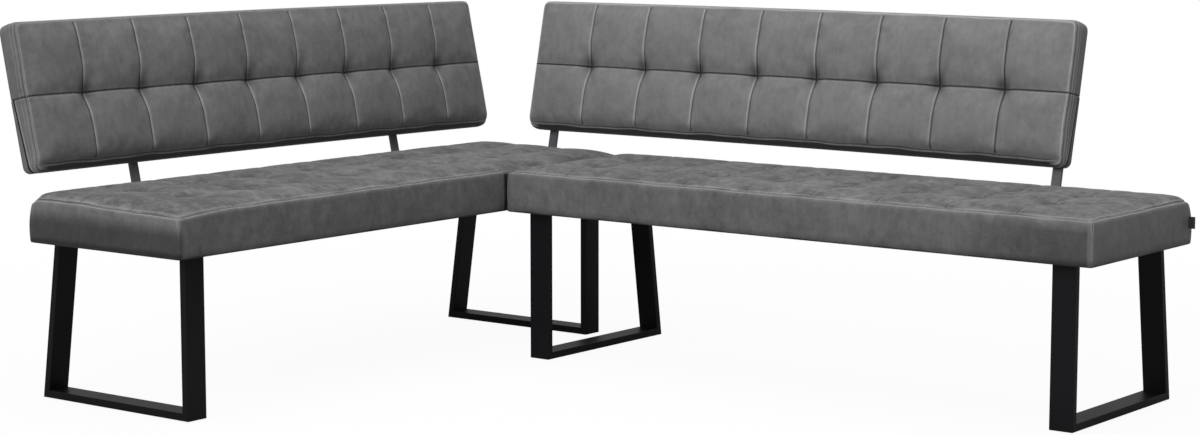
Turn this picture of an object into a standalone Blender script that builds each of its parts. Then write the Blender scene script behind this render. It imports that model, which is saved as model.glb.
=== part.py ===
"""Corner bench: two upholstered seats in an L, two tufted backrests on steel uprights, four leg frames.

Metres, +Z up. The corner seat runs along Y into the back corner and the side seat runs along X and butts
against its side. Each section has a parent empty whose X runs along the seat, whose Y points from the back
of the seat to its front, and whose Z is up, so the same pieces serve both sections.
"""

import math

import bmesh
import bpy
import numpy as np
from mathutils import Matrix, Vector

# Clearances between pieces that touch on the real bench
GAP = 0.0003
SEAT_JOINT_CLEARANCE = 0.001

# Seats
SEAT_DEPTH = 0.513
CORNER_SEAT_LENGTH = 1.656
SIDE_SEAT_LENGTH = 1.677
SEAT_UNDERSIDE_HEIGHT = 0.388
SEAT_THICKNESS = 0.104
SEAT_CROWN = 0.010
SEAT_SIDE_BULGE = 0.0025
SEAT_CORNER_RADIUS = 0.014
SEAT_TOP_EDGE_RADIUS = 0.008
SEAT_BOTTOM_EDGE_RADIUS = 0.005
SEAT_ROW_COUNT = 3
SEAT_GROOVE_DEPTH = 0.003
SEAT_TUFT_DEPTH = 0.006

# Seat boards and the lining under them
SEAT_BOARD_THICKNESS = 0.020
SEAT_BOARD_MARGIN = 0.010
SEAT_BOARD_CORNER_RADIUS = 0.018
LINING_THICKNESS = 0.001
LINING_MARGIN = 0.016
LINING_CORNER_RADIUS = 0.012

# Backrests, measured square to their own face
BACKREST_LENGTH = 1.642
BACKREST_HEIGHT = 0.359
BACKREST_THICKNESS = 0.065
BACKREST_LEAN = math.radians(12.5)
BACKREST_FRONT_OVERHANG = 0.031
BACKREST_RISE = 0.161
BACKREST_CROWN = 0.008
BACKREST_SIDE_BULGE = 0.002
BACKREST_CORNER_RADIUS = 0.020
BACKREST_FRONT_EDGE_RADIUS = 0.010
BACKREST_REAR_EDGE_RADIUS = 0.006
BACKREST_ROW_COUNT = 2
BACKREST_GROOVE_DEPTH = 0.005
BACKREST_TUFT_DEPTH = 0.007
CORNER_BACKREST_SETBACK = -0.008
BACKREST_BOARD_THICKNESS = 0.012
BACKREST_BOARD_MARGIN = 0.012
REAR_COVER_BOTTOM_THICKNESS = 0.022
REAR_COVER_TOP_THICKNESS = 0.004
REAR_COVER_WALL = 0.0025
REAR_COVER_EDGE_RADIUS = 0.005
REAR_COVER_SIDE_SHARE = 0.3
REAR_COVER_BEVEL_SHARE = 0.1
REAR_COVER_BEVEL_INSET = 0.0015
REAR_OPENING_MARGIN = 0.001

# Quilting that seats and backrests share
COLUMN_COUNT = 9
COLUMN_WIDTH = 0.184
GROOVE_REACH = 0.015
GROOVE_SHARPNESS = 1.7
TUFT_REACH = 0.030
CROWN_POWER_ALONG = 12
CROWN_POWER_ACROSS = 4

# Leg frames of rectangular steel tube with a flat mounting strip on top
TUBE_WIDTH = 0.060
TUBE_THICKNESS = 0.018
TUBE_WALL = 0.002
TUBE_EDGE_CHAMFER = 0.001
STRIP_THICKNESS = 0.005
FRONT_LEG_INSET = 0.048
BACK_LEG_TOP_INSET = 0.022
BACK_LEG_FLOOR_OVERHANG = 0.033
OUTER_LEG_INSET = 0.093
INNER_LEG_INSET = 0.074
LEG_SCREW_DISTANCE = 0.040

# Plastic glides under the leg frames
GLIDE_THICKNESS = 0.003
GLIDE_RADIUS = 0.012
GLIDE_RIM_SHARE = 0.6
GLIDE_BEVEL = 0.0015
GLIDE_STEM_RADIUS = 0.0037
GLIDE_STEM_LENGTH = 0.009
GLIDE_END_DISTANCE = 0.045

# Steel uprights that carry the backrests
UPRIGHT_WIDTH = 0.025
UPRIGHT_THICKNESS = 0.008
UPRIGHT_BACK_CLEARANCE = 0.005
UPRIGHT_BEND_RADIUS = 0.030
UPRIGHT_ENGAGEMENT = 0.150
CORNER_OUTER_UPRIGHT_DISTANCE = 0.358
CORNER_INNER_UPRIGHT_DISTANCE = 0.343
SIDE_INNER_UPRIGHT_MARGIN = 0.0445
SIDE_OUTER_UPRIGHT_MARGIN = 0.0265
FOOT_PLATE_LENGTH = 0.080
FOOT_PLATE_THICKNESS = 0.005
FOOT_PLATE_REACH = 0.038
FOOT_PLATE_WELD_MARGIN = 0.002
FOOT_PLATE_CORNER = 0.006
BAR_SINK_SHARE = 0.8
FOOT_SCREW_SPACING = 0.052
FOOT_SCREW_INSET = 0.022
BACK_SCREW_LOW = 0.045
BACK_SCREW_HIGH = 0.115

# Button head screws: one size under the seats, a smaller one in the backrests
SEAT_SCREW_RADIUS = 0.0037
SEAT_SCREW_HEAD_RADIUS = 0.007
SEAT_SCREW_HEAD_HEIGHT = 0.0044
SEAT_SCREW_LENGTH = 0.020
BACK_SCREW_RADIUS = 0.0027
BACK_SCREW_HEAD_RADIUS = 0.0055
BACK_SCREW_HEAD_HEIGHT = 0.0033
BACK_SCREW_LENGTH = 0.018
SCREW_CLEARANCE = 0.0003
SCREW_HEAD_FLAT_SHARE = 0.6
SCREW_HEAD_RIM_SHARE = 0.45
SCREW_END_CLEARANCE = 0.001

# Plates that hold the side seat to the corner seat
JOINING_PLATE_THICKNESS = 0.004
JOINING_PLATE_WIDTH = 0.040
JOINING_PLATE_REACH = 0.040
JOINING_PLATE_CORNER_RADIUS = 0.006
JOINING_SCREW_REACH = 0.022
JOINING_PLATE_BACK_DISTANCE = 0.150
JOINING_PLATE_FRONT_DISTANCE = 0.133

# Sewn-in tag on the side seat, with nothing on it
TAG_LENGTH = 0.016
TAG_HEIGHT = 0.028
TAG_THICKNESS = 0.0012
TAG_RISE = 0.040
TAG_BACK_DISTANCE = 0.030

# Facets
CORNER_CELLS = 2
ARC_STEPS = 4
BEND_STEPS = 4
ROUND_SIDES = 10
GLIDE_SIDES = 16
PLATE_CORNER_STEPS = 2
TURNED_SMOOTH_ANGLE = math.radians(40)
COVER_SMOOTH_ANGLE = math.radians(40)
QUILT_SMOOTH_ANGLE = math.radians(50)
MERGE_DISTANCE = 0.000001

# Sizes that follow from the ones above
SEAM_HEIGHT = SEAT_UNDERSIDE_HEIGHT + SEAT_THICKNESS
BOARD_BOTTOM_HEIGHT = SEAT_UNDERSIDE_HEIGHT + LINING_THICKNESS + GAP
MOUNT_HEIGHT = SEAT_UNDERSIDE_HEIGHT - GAP
SIDE_SEAT_START = SEAT_DEPTH + 2 * SEAT_SIDE_BULGE + SEAT_JOINT_CLEARANCE
SIDE_SEAT_END = SIDE_SEAT_START + SIDE_SEAT_LENGTH
UPRIGHT_FRONT = -(SEAT_SIDE_BULGE + UPRIGHT_BACK_CLEARANCE)
BAR_REAR_DEPTH = REAR_COVER_WALL + BACK_SCREW_HEAD_HEIGHT + 2 * GAP
UPRIGHT_FACE_DEPTH = BAR_REAR_DEPTH + UPRIGHT_THICKNESS
BOARD_REAR_DEPTH = UPRIGHT_FACE_DEPTH + GAP
COVER_TOP = BACKREST_HEIGHT / BACKREST_ROW_COUNT

CHARCOAL_COVER = ((0.12, 0.12, 0.122), 0.62, 0.0)
DARK_LINING = ((0.02, 0.02, 0.02), 0.9, 0.0)
BLACK_STEEL = ((0.012, 0.012, 0.014), 0.42, 0.6)
BLACK_PLASTIC = ((0.02, 0.02, 0.02), 0.55, 0.0)
ZINC_SCREW = ((0.55, 0.55, 0.56), 0.35, 1.0)
PLYWOOD = ((0.50, 0.36, 0.22), 0.7, 0.0)


def clear_scene():
    for obj in list(bpy.data.objects):
        bpy.data.objects.remove(obj, do_unlink=True)


def finish_material(name, finish):
    """A Principled material with a colour, a roughness and a metallic value."""
    colour, roughness, metallic = finish
    material = bpy.data.materials.new(name + "_finish")
    material.use_nodes = True
    shader = material.node_tree.nodes["Principled BSDF"]
    shader.inputs["Base Color"].default_value = (*colour, 1.0)
    shader.inputs["Roughness"].default_value = roughness
    shader.inputs["Metallic"].default_value = metallic
    return material


def add_object(name, mesh, finish, parent, location=(0, 0, 0), rotation=(0, 0, 0)):
    obj = bpy.data.objects.new(name, mesh)
    bpy.context.scene.collection.objects.link(obj)
    obj.parent = parent
    obj.location = location
    obj.rotation_euler = rotation
    if not mesh.materials:
        mesh.materials.append(None)
    obj.material_slots[0].link = "OBJECT"
    obj.material_slots[0].material = finish_material(name, finish)
    return obj


def add_empty(name, parent=None, location=(0, 0, 0), rotation=(0, 0, 0)):
    empty = bpy.data.objects.new(name, None)
    bpy.context.scene.collection.objects.link(empty)
    empty.parent = parent
    empty.location = location
    empty.rotation_euler = rotation
    return empty


def mesh_from(name, points, faces, smooth_angle=None):
    """A mesh with doubles merged and normals pointing out."""
    mesh = bpy.data.meshes.new(name)
    mesh.from_pydata([tuple(map(float, p)) for p in points], [], [list(f) for f in faces])
    shape = bmesh.new()
    shape.from_mesh(mesh)
    bmesh.ops.remove_doubles(shape, verts=shape.verts, dist=MERGE_DISTANCE)
    bmesh.ops.recalc_face_normals(shape, faces=shape.faces)
    shape.to_mesh(mesh)
    shape.free()
    if smooth_angle is not None:
        mesh.shade_smooth()
        mesh.set_sharp_from_angle(angle=smooth_angle)
    return mesh


def loops_mesh(name, loops, smooth_angle=None):
    """A closed skin over a stack of equal loops, capped at both ends."""
    count = len(loops[0])
    points = np.concatenate(loops)
    faces = [tuple(range(count))]
    for level in range(len(loops) - 1):
        low = level * count
        for i in range(count):
            j = (i + 1) % count
            faces.append((low + i, low + j, low + count + j, low + count + i))
    faces.append(tuple(range((len(loops) - 1) * count, len(loops) * count)))
    return mesh_from(name, points, faces, smooth_angle)


def prism_mesh(name, outline, low, high, axis=2):
    """An outline in the two other axes, extruded from low to high along an axis."""
    outline = np.asarray(outline, float)
    others = [i for i in range(3) if i != axis]
    loops = []
    for level in (low, high):
        loop = np.empty((len(outline), 3))
        loop[:, others] = outline
        loop[:, axis] = level
        loops.append(loop)
    return loops_mesh(name, loops)


def box_mesh(name, low, high):
    (x0, y0, z0), (x1, y1, z1) = low, high
    return prism_mesh(name, [(x0, y0), (x1, y0), (x1, y1), (x0, y1)], z0, z1)


def turned_mesh(name, profile, sides=ROUND_SIDES):
    """A profile of (radius, height) turned about Z; its first and last points lie on its flat ends."""
    angles = np.arange(sides) * (2 * math.pi / sides)
    loops = []
    for radius, height in profile:
        ring = np.stack([radius * np.cos(angles), radius * np.sin(angles), np.full(sides, height)], axis=1)
        loops.append(ring)
    return loops_mesh(name, loops, TURNED_SMOOTH_ANGLE)


def rounded_rectangle(half_x, half_y, radii, steps=ARC_STEPS):
    """A rectangle about the origin, anticlockwise from its +X -Y corner, with a radius for each corner."""
    signs = ((1, -1), (1, 1), (-1, 1), (-1, -1))
    points = []
    for corner, ((sx, sy), radius) in enumerate(zip(signs, radii)):
        if radius <= 0:
            points.append((sx * half_x, sy * half_y))
            continue
        start = (corner - 1) * math.pi / 2
        for angle in np.linspace(start, start + math.pi / 2, steps + 1):
            x = sx * (half_x - radius) + radius * math.cos(angle)
            y = sy * (half_y - radius) + radius * math.sin(angle)
            points.append((x, y))
    return points


def offset_polygon(points, distances):
    """The polygon whose edges lie inside those of an anticlockwise one by a distance each."""
    points = [Vector(p) for p in points]
    count = len(points)
    lines = []
    for i in range(count):
        along = (points[(i + 1) % count] - points[i]).normalized()
        inward = Vector((-along.y, along.x))
        lines.append((points[i] + inward * distances[i], along))
    found = []
    for i in range(count):
        (p, d), (q, e) = lines[i - 1], lines[i]
        t = ((q.x - p.x) * e.y - (q.y - p.y) * e.x) / (d.x * e.y - d.y * e.x)
        found.append(p + d * t)
    return found


def joined(meshes):
    """One mesh with separate bodies, from several meshes that don't touch."""
    shape = bmesh.new()
    for mesh in meshes:
        shape.from_mesh(mesh)
    whole = bpy.data.meshes.new(meshes[0].name + "_set")
    shape.to_mesh(whole)
    shape.free()
    return whole


def cut(target, *meshes):
    """Cuts meshes that don't touch each other, given in the target's own space, out of it."""
    cutter = bpy.data.objects.new(target.name + "_cutter", joined(meshes))
    bpy.context.scene.collection.objects.link(cutter)
    cutter.parent = target
    cutter.hide_render = True
    cutter.display_type = "WIRE"
    modifier = target.modifiers.new("cut", "BOOLEAN")
    modifier.operation = "DIFFERENCE"
    modifier.solver = "EXACT"
    modifier.object = cutter


def moved(mesh, matrix):
    mesh.transform(matrix)
    return mesh


def holes_at(name, radius, low, high, places):
    """Round cutters from low to high at places in X and Y."""
    holes = []
    for x, y in places:
        hole = turned_mesh(name, [(radius, low), (radius, high)])
        holes.append(moved(hole, Matrix.Translation((x, y, 0))))
    return holes


def quilt_lines(half, corner, seams):
    """Grid lines from edge to edge: corner zones, seams with a line on both sides, panels' middles."""
    edges = np.linspace(half - corner, half, CORNER_CELLS + 1)
    marks = [-half, *seams, half]
    middles = [(a + b) / 2 for a, b in zip(marks, marks[1:])]
    beside = [s + side * GROOVE_REACH for s in seams for side in (-1, 1)]
    return np.array(sorted([*-edges, *edges, *seams, *beside, *middles]))


def quilted_mesh(name, size, radii, crown, bulge, rows, groove_depth, tuft_depth):
    """A closed, crowned slab, X along its length, Y across and its quilted face at +Z.

    The face is a grid whose height is the crown, which falls to nothing at the edge, less a groove along
    each seam and a deeper pit where two seams cross. Its corners are squares of the grid pulled onto quarter
    discs. The sides are rings that share the corners' centres and bulge at half height.
    """
    length, width, thickness = size
    corner_radius, face_radius, base_radius = radii
    half_x = length / 2 - face_radius
    half_y = width / 2 - face_radius
    corner = corner_radius - face_radius
    column_seams = [COLUMN_WIDTH * (k - COLUMN_COUNT / 2) for k in range(1, COLUMN_COUNT)]
    row_seams = [width * (k / rows - 0.5) for k in range(1, rows)]
    xs = quilt_lines(half_x, corner, column_seams)
    ys = quilt_lines(half_y, corner, row_seams)
    grid_x, grid_y = np.meshgrid(xs, ys, indexing="ij")

    def placed(x, y, radius):
        a = np.clip((abs(x) - (half_x - corner)) / corner, 0, 1)
        b = np.clip((abs(y) - (half_y - corner)) / corner, 0, 1)
        core_x = np.minimum(abs(x), half_x - corner)
        core_y = np.minimum(abs(y), half_y - corner)
        out_x = np.sign(x) * (core_x + radius * a * np.sqrt(1 - b * b / 2))
        out_y = np.sign(y) * (core_y + radius * b * np.sqrt(1 - a * a / 2))
        return out_x, out_y

    swell_along = 1 - abs(grid_x / half_x) ** CROWN_POWER_ALONG
    swell = swell_along * (1 - abs(grid_y / half_y) ** CROWN_POWER_ACROSS)
    to_column = np.min([abs(grid_x - s) for s in column_seams], axis=0)
    to_row = np.min([abs(grid_y - s) for s in row_seams], axis=0)
    to_seam = np.minimum(to_column, to_row)
    groove = np.exp(-((GROOVE_SHARPNESS * to_seam / GROOVE_REACH) ** 2))
    pit = np.exp(-(to_column**2 + to_row**2) / TUFT_REACH**2)
    height = thickness + swell * (crown - groove_depth * groove - tuft_depth * pit)
    face_x, face_y = placed(grid_x, grid_y, corner)
    points = list(np.stack([face_x, face_y, height], axis=-1).reshape(-1, 3))
    nx, ny = len(xs), len(ys)
    faces = []
    for i in range(nx - 1):
        for j in range(ny - 1):
            faces.append((i * ny + j, (i + 1) * ny + j, (i + 1) * ny + j + 1, i * ny + j + 1))

    ring = [(i, 0) for i in range(nx - 1)] + [(nx - 1, j) for j in range(ny - 1)]
    ring += [(i, ny - 1) for i in range(nx - 1, 0, -1)] + [(0, j) for j in range(ny - 1, 0, -1)]
    ring_x = np.array([xs[i] for i, _ in ring])
    ring_y = np.array([ys[j] for _, j in ring])
    bend = face_radius * (1 - math.sqrt(0.5))
    levels = (
        (bend, thickness - bend),
        (0, thickness - face_radius),
        (-bulge, thickness / 2),
        (0, base_radius),
        (base_radius, 0),
    )
    before = [i * ny + j for i, j in ring]
    for inset, level in levels:
        x, y = placed(ring_x, ring_y, corner_radius - inset)
        start = len(points)
        points += list(np.stack([x, y, np.full(len(ring), level)], axis=1))
        here = list(range(start, start + len(ring)))
        for k in range(len(ring)):
            after = (k + 1) % len(ring)
            faces.append((before[k], before[after], here[after], here[k]))
        before = here
    faces.append(tuple(before))
    return mesh_from(name, points, faces, QUILT_SMOOTH_ANGLE)


def leg_outline(base):
    """The leg frame's outer shape across the seat's depth, anticlockwise, as (depth, height)."""
    front = SEAT_DEPTH - FRONT_LEG_INSET
    floor_line = [(-BACK_LEG_FLOOR_OVERHANG, base), (front, base)]
    return floor_line + [(front, MOUNT_HEIGHT), (BACK_LEG_TOP_INSET, MOUNT_HEIGHT)]


def leg_opening():
    edges = (TUBE_THICKNESS, TUBE_THICKNESS, STRIP_THICKNESS, TUBE_THICKNESS)
    return offset_polygon(leg_outline(GLIDE_THICKNESS), edges)


def leg_screw_places():
    opening = leg_opening()
    return (opening[2].x - LEG_SCREW_DISTANCE, opening[3].x + LEG_SCREW_DISTANCE)


def glide_places():
    front = SEAT_DEPTH - FRONT_LEG_INSET - GLIDE_END_DISTANCE
    return (front, GLIDE_END_DISTANCE - BACK_LEG_FLOOR_OVERHANG)


def leg_frame_mesh():
    """The welded frame: front leg upright, back leg raked, floor bar and strip, as one ring-shaped prism."""
    outline = leg_outline(GLIDE_THICKNESS)
    opening = leg_opening()
    half = TUBE_WIDTH / 2
    chamfer = TUBE_EDGE_CHAMFER
    slim = [Vector(p) for p in offset_polygon(outline, (chamfer,) * 4)]
    wide = offset_polygon(opening, (-chamfer,) * 4)
    points = []
    layers = (
        (-half, slim, wide),
        (chamfer - half, outline, opening),
        (half - chamfer, outline, opening),
        (half, slim, wide),
    )
    for place, outer, inner in layers:
        points += [(place, p[0], p[1]) for p in (*outer, *inner)]
    sides = len(outline)
    layer = 2 * sides
    last = layer * (len(layers) - 1)
    faces = []
    for k in range(sides):
        n = (k + 1) % sides
        for start in (0, last):
            faces.append((start + k, start + n, start + sides + n, start + sides + k))
        for start in range(0, last, layer):
            for edge in (start, start + sides):
                faces.append((edge + k, edge + n, edge + layer + n, edge + layer + k))
    return mesh_from("leg_frame", points, faces)


def leg_hollow_mesh():
    """The inside of the tubes, from one leg's top through the floor bar to the other's."""
    wall = TUBE_WALL
    outer = offset_polygon(leg_outline(GLIDE_THICKNESS), (wall, wall, STRIP_THICKNESS, wall))
    inner = offset_polygon(leg_opening(), (-wall, -wall, 0, -wall))
    outline = [outer[0], outer[1], outer[2], inner[2], inner[1], inner[0], inner[3], outer[3]]
    half = TUBE_WIDTH / 2 - wall
    return prism_mesh("leg_hollow", outline, -half, half, axis=0)


def leg_frame_holes():
    """The holes for the glides' stems, which open the tubes, and those for the screws in the strip."""
    stems = [(0, place) for place in glide_places()]
    screws = [(0, place) for place in leg_screw_places()]
    into_tube = GLIDE_THICKNESS + 1.5 * TUBE_WALL
    low, high = MOUNT_HEIGHT - 2 * STRIP_THICKNESS, MOUNT_HEIGHT + STRIP_THICKNESS
    holes = holes_at("glide_hole", GLIDE_STEM_RADIUS + GAP, -GLIDE_THICKNESS, into_tube, stems)
    return holes + holes_at("strip_hole", SEAT_SCREW_RADIUS + SCREW_CLEARANCE, low, high, screws)


def baked(obj):
    """The object's shape with its modifiers applied, as a mesh that copies can share."""
    bpy.context.view_layer.update()
    graph = bpy.context.evaluated_depsgraph_get()
    mesh = bpy.data.meshes.new_from_object(obj.evaluated_get(graph))
    for child in list(obj.children):
        bpy.data.objects.remove(child, do_unlink=True)
    bpy.data.objects.remove(obj, do_unlink=True)
    return mesh


def shared_mesh(name, mesh, *rounds):
    """A mesh with rounds of cuts made in it, each round a list of meshes."""
    obj = bpy.data.objects.new(name, mesh)
    bpy.context.scene.collection.objects.link(obj)
    for cuts in rounds:
        cut(obj, *cuts)
    result = baked(obj)
    result.name = name
    return result


def backrest_matrix():
    """From a backrest's own axes (X along it, Y up its face, Z out of its face) to its section's."""
    lean = BACKREST_LEAN
    columns = ((-1, 0, 0), (0, -math.sin(lean), math.cos(lean)), (0, math.cos(lean), math.sin(lean)))
    turn = Matrix(columns).transposed().to_4x4()
    foot = Vector((0, BACKREST_FRONT_OVERHANG, SEAT_UNDERSIDE_HEIGHT + BACKREST_RISE))
    return Matrix.Translation(foot) @ turn @ Matrix.Translation((0, 0, -BACKREST_THICKNESS))


def bar_path():
    """The upright's front face in depth and height: up behind the seat, then leaning into the backrest."""
    to_section = backrest_matrix()
    entry = to_section @ Vector((0, 0, UPRIGHT_FACE_DEPTH))
    top = to_section @ Vector((0, UPRIGHT_ENGAGEMENT, UPRIGHT_FACE_DEPTH))
    drop = (UPRIGHT_FRONT - entry.y) / math.tan(BACKREST_LEAN)
    bend = Vector((UPRIGHT_FRONT, entry.z - drop))
    foot = Vector((UPRIGHT_FRONT, MOUNT_HEIGHT - BAR_SINK_SHARE * FOOT_PLATE_THICKNESS))
    return foot, bend, Vector((top.y, top.z))


def bar_outline():
    """The bent bar's side view: the front face's bent line, and the same line a thickness behind."""
    foot, bend, top = bar_path()
    reach = UPRIGHT_BEND_RADIUS * math.tan(BACKREST_LEAN / 2)
    centre = Vector((bend.x - UPRIGHT_BEND_RADIUS - UPRIGHT_THICKNESS, bend.y - reach))
    angles = np.linspace(0, BACKREST_LEAN, BEND_STEPS + 1)
    front = [foot]
    back = [foot - Vector((UPRIGHT_THICKNESS, 0))]
    for angle in angles:
        ray = Vector((math.cos(angle), math.sin(angle)))
        front.append(centre + ray * (UPRIGHT_BEND_RADIUS + UPRIGHT_THICKNESS))
        back.append(centre + ray * UPRIGHT_BEND_RADIUS)
    behind = Vector((-math.cos(BACKREST_LEAN), -math.sin(BACKREST_LEAN))) * UPRIGHT_THICKNESS
    front.append(top)
    back.append(top + behind)
    return front + back[::-1]


def foot_plate_outline():
    """The T-shaped foot plate seen from above: a wide part under the seat and a neck back to the bar."""
    half = FOOT_PLATE_LENGTH / 2
    neck = UPRIGHT_WIDTH / 2 + FOOT_PLATE_WELD_MARGIN
    back = UPRIGHT_FRONT - UPRIGHT_THICKNESS - FOOT_PLATE_WELD_MARGIN
    corner = FOOT_PLATE_CORNER
    right = [
        (neck, back),
        (neck, 0),
        (half - corner, 0),
        (half, corner),
        (half, FOOT_PLATE_REACH - corner),
        (half - corner, FOOT_PLATE_REACH),
    ]
    return right + [(-x, y) for x, y in reversed(right)]


def upright_mesh():
    """A bent bar welded into a foot plate, with two screw holes in the plate and two in the bar."""
    plate_low = MOUNT_HEIGHT - FOOT_PLATE_THICKNESS
    plate_mesh = prism_mesh("foot_plate", foot_plate_outline(), plate_low, MOUNT_HEIGHT)
    plate = bpy.data.objects.new("upright", plate_mesh)
    bpy.context.scene.collection.objects.link(plate)
    half = UPRIGHT_WIDTH / 2
    bar = bpy.data.objects.new("bar", prism_mesh("bar", bar_outline(), -half, half, axis=0))
    bpy.context.scene.collection.objects.link(bar)
    bar.parent = plate
    bar.hide_render = True
    bar.display_type = "WIRE"
    weld = plate.modifiers.new("weld", "BOOLEAN")
    weld.operation = "UNION"
    weld.solver = "EXACT"
    weld.object = bar
    low, high = MOUNT_HEIGHT - 2 * FOOT_PLATE_THICKNESS, MOUNT_HEIGHT + FOOT_PLATE_THICKNESS
    feet = [(side * FOOT_SCREW_SPACING / 2, FOOT_SCREW_INSET) for side in (-1, 1)]
    holes = holes_at("plate_hole", SEAT_SCREW_RADIUS + SCREW_CLEARANCE, low, high, feet)
    low, high = UPRIGHT_FACE_DEPTH - 2 * UPRIGHT_THICKNESS, UPRIGHT_FACE_DEPTH + UPRIGHT_THICKNESS
    backs = [(0, place) for place in (BACK_SCREW_LOW, BACK_SCREW_HIGH)]
    for hole in holes_at("bar_hole", BACK_SCREW_RADIUS + SCREW_CLEARANCE, low, high, backs):
        holes.append(moved(hole, backrest_matrix()))
    cut(plate, *holes)
    mesh = baked(plate)
    mesh.name = "upright"
    return mesh


def screw_mesh(name, radius, head_radius, head_height, length):
    """A button head screw, its shank up and the underside of its head at height 0."""
    profile = [
        (SCREW_HEAD_FLAT_SHARE * head_radius, -head_height),
        (head_radius, -SCREW_HEAD_RIM_SHARE * head_height),
        (head_radius, 0),
        (radius, 0),
        (radius, length),
    ]
    return turned_mesh(name, profile)


def glide_mesh():
    """A round glide whose stem goes up through the floor bar's wall."""
    profile = [
        (GLIDE_RADIUS, 0),
        (GLIDE_RADIUS, GLIDE_RIM_SHARE * GLIDE_THICKNESS),
        (GLIDE_RADIUS - GLIDE_BEVEL, GLIDE_THICKNESS - GAP),
        (GLIDE_STEM_RADIUS, GLIDE_THICKNESS - GAP),
        (GLIDE_STEM_RADIUS, GLIDE_STEM_LENGTH),
    ]
    return turned_mesh("glide", profile, GLIDE_SIDES)


class Section:
    """One seat with its leg frames; X along it from its start, Y from its back to its front."""

    def __init__(self, name, length, root, location, turn, insets, length_ends):
        self.name = name
        self.length = length
        self.axis = add_empty(name + "_section", root, location, (0, 0, turn))
        self.leg_places = insets
        self.ends = length_ends
        self.screws = []

    def add_leg_frames(self, frame, glide, screw):
        for end, place in zip(self.ends, self.leg_places):
            stem = f"{self.name}_{end}"
            add_object(stem + "_leg_frame", frame, BLACK_STEEL, self.axis, (place, 0, 0))
            for which, depth in zip(("front", "back"), glide_places()):
                add_object(f"{stem}_{which}_glide", glide, BLACK_PLASTIC, self.axis, (place, depth, 0))
            for which, depth in zip(("front", "back"), leg_screw_places()):
                self.add_screw(f"{stem}_{which}_leg_screw", screw, (place, depth), STRIP_THICKNESS)

    def add_screw(self, name, screw, place, plate_thickness):
        """A screw up through a plate, the lining and into the board."""
        x, y = place
        add_object(name, screw, ZINC_SCREW, self.axis, (x, y, MOUNT_HEIGHT - plate_thickness - GAP))
        self.screws.append((x, y))

    def add_seat(self):
        """The board with blind holes, the lining with its holes, and the cushion that wraps the board."""
        middle = (self.length / 2, SEAT_DEPTH / 2)
        holes = [(x - middle[0], y - middle[1]) for x, y in self.screws]
        board_half = (middle[0] - SEAT_BOARD_MARGIN, middle[1] - SEAT_BOARD_MARGIN)
        board_outline = rounded_rectangle(*board_half, (SEAT_BOARD_CORNER_RADIUS,) * 4)
        board = add_object(
            self.name + "_seat_board",
            prism_mesh("seat_board", board_outline, 0, SEAT_BOARD_THICKNESS),
            PLYWOOD,
            self.axis,
            (*middle, BOARD_BOTTOM_HEIGHT),
        )
        thinnest = min(STRIP_THICKNESS, FOOT_PLATE_THICKNESS, JOINING_PLATE_THICKNESS)
        top = MOUNT_HEIGHT - GAP - thinnest + SEAT_SCREW_LENGTH + SCREW_END_CLEARANCE - BOARD_BOTTOM_HEIGHT
        radius = SEAT_SCREW_RADIUS + SCREW_CLEARANCE
        cut(board, *holes_at("board_hole", radius, -SEAT_BOARD_THICKNESS, top, holes))
        lining_half = (middle[0] - LINING_MARGIN, middle[1] - LINING_MARGIN)
        lining_outline = rounded_rectangle(*lining_half, (LINING_CORNER_RADIUS,) * 4)
        lining = add_object(
            self.name + "_seat_lining",
            prism_mesh("lining", lining_outline, 0, LINING_THICKNESS),
            DARK_LINING,
            self.axis,
            (*middle, SEAT_UNDERSIDE_HEIGHT),
        )
        cut(lining, *holes_at("lining_hole", radius, -LINING_THICKNESS, 2 * LINING_THICKNESS, holes))
        cushion = add_object(
            self.name + "_seat_cushion",
            quilted_mesh(
                "seat_cushion",
                (self.length, SEAT_DEPTH, SEAT_THICKNESS),
                (SEAT_CORNER_RADIUS, SEAT_TOP_EDGE_RADIUS, SEAT_BOTTOM_EDGE_RADIUS),
                SEAT_CROWN,
                SEAT_SIDE_BULGE,
                SEAT_ROW_COUNT,
                SEAT_GROOVE_DEPTH,
                SEAT_TUFT_DEPTH,
            ),
            CHARCOAL_COVER,
            self.axis,
            (*middle, SEAT_UNDERSIDE_HEIGHT),
        )
        pocket_half = (board_half[0] + GAP, board_half[1] + GAP)
        pocket = rounded_rectangle(*pocket_half, (SEAT_BOARD_CORNER_RADIUS + GAP,) * 4)
        depth = LINING_THICKNESS + SEAT_BOARD_THICKNESS + 2 * GAP
        cut(cushion, prism_mesh("pocket", pocket, -SEAT_BOARD_THICKNESS, depth))


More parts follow.
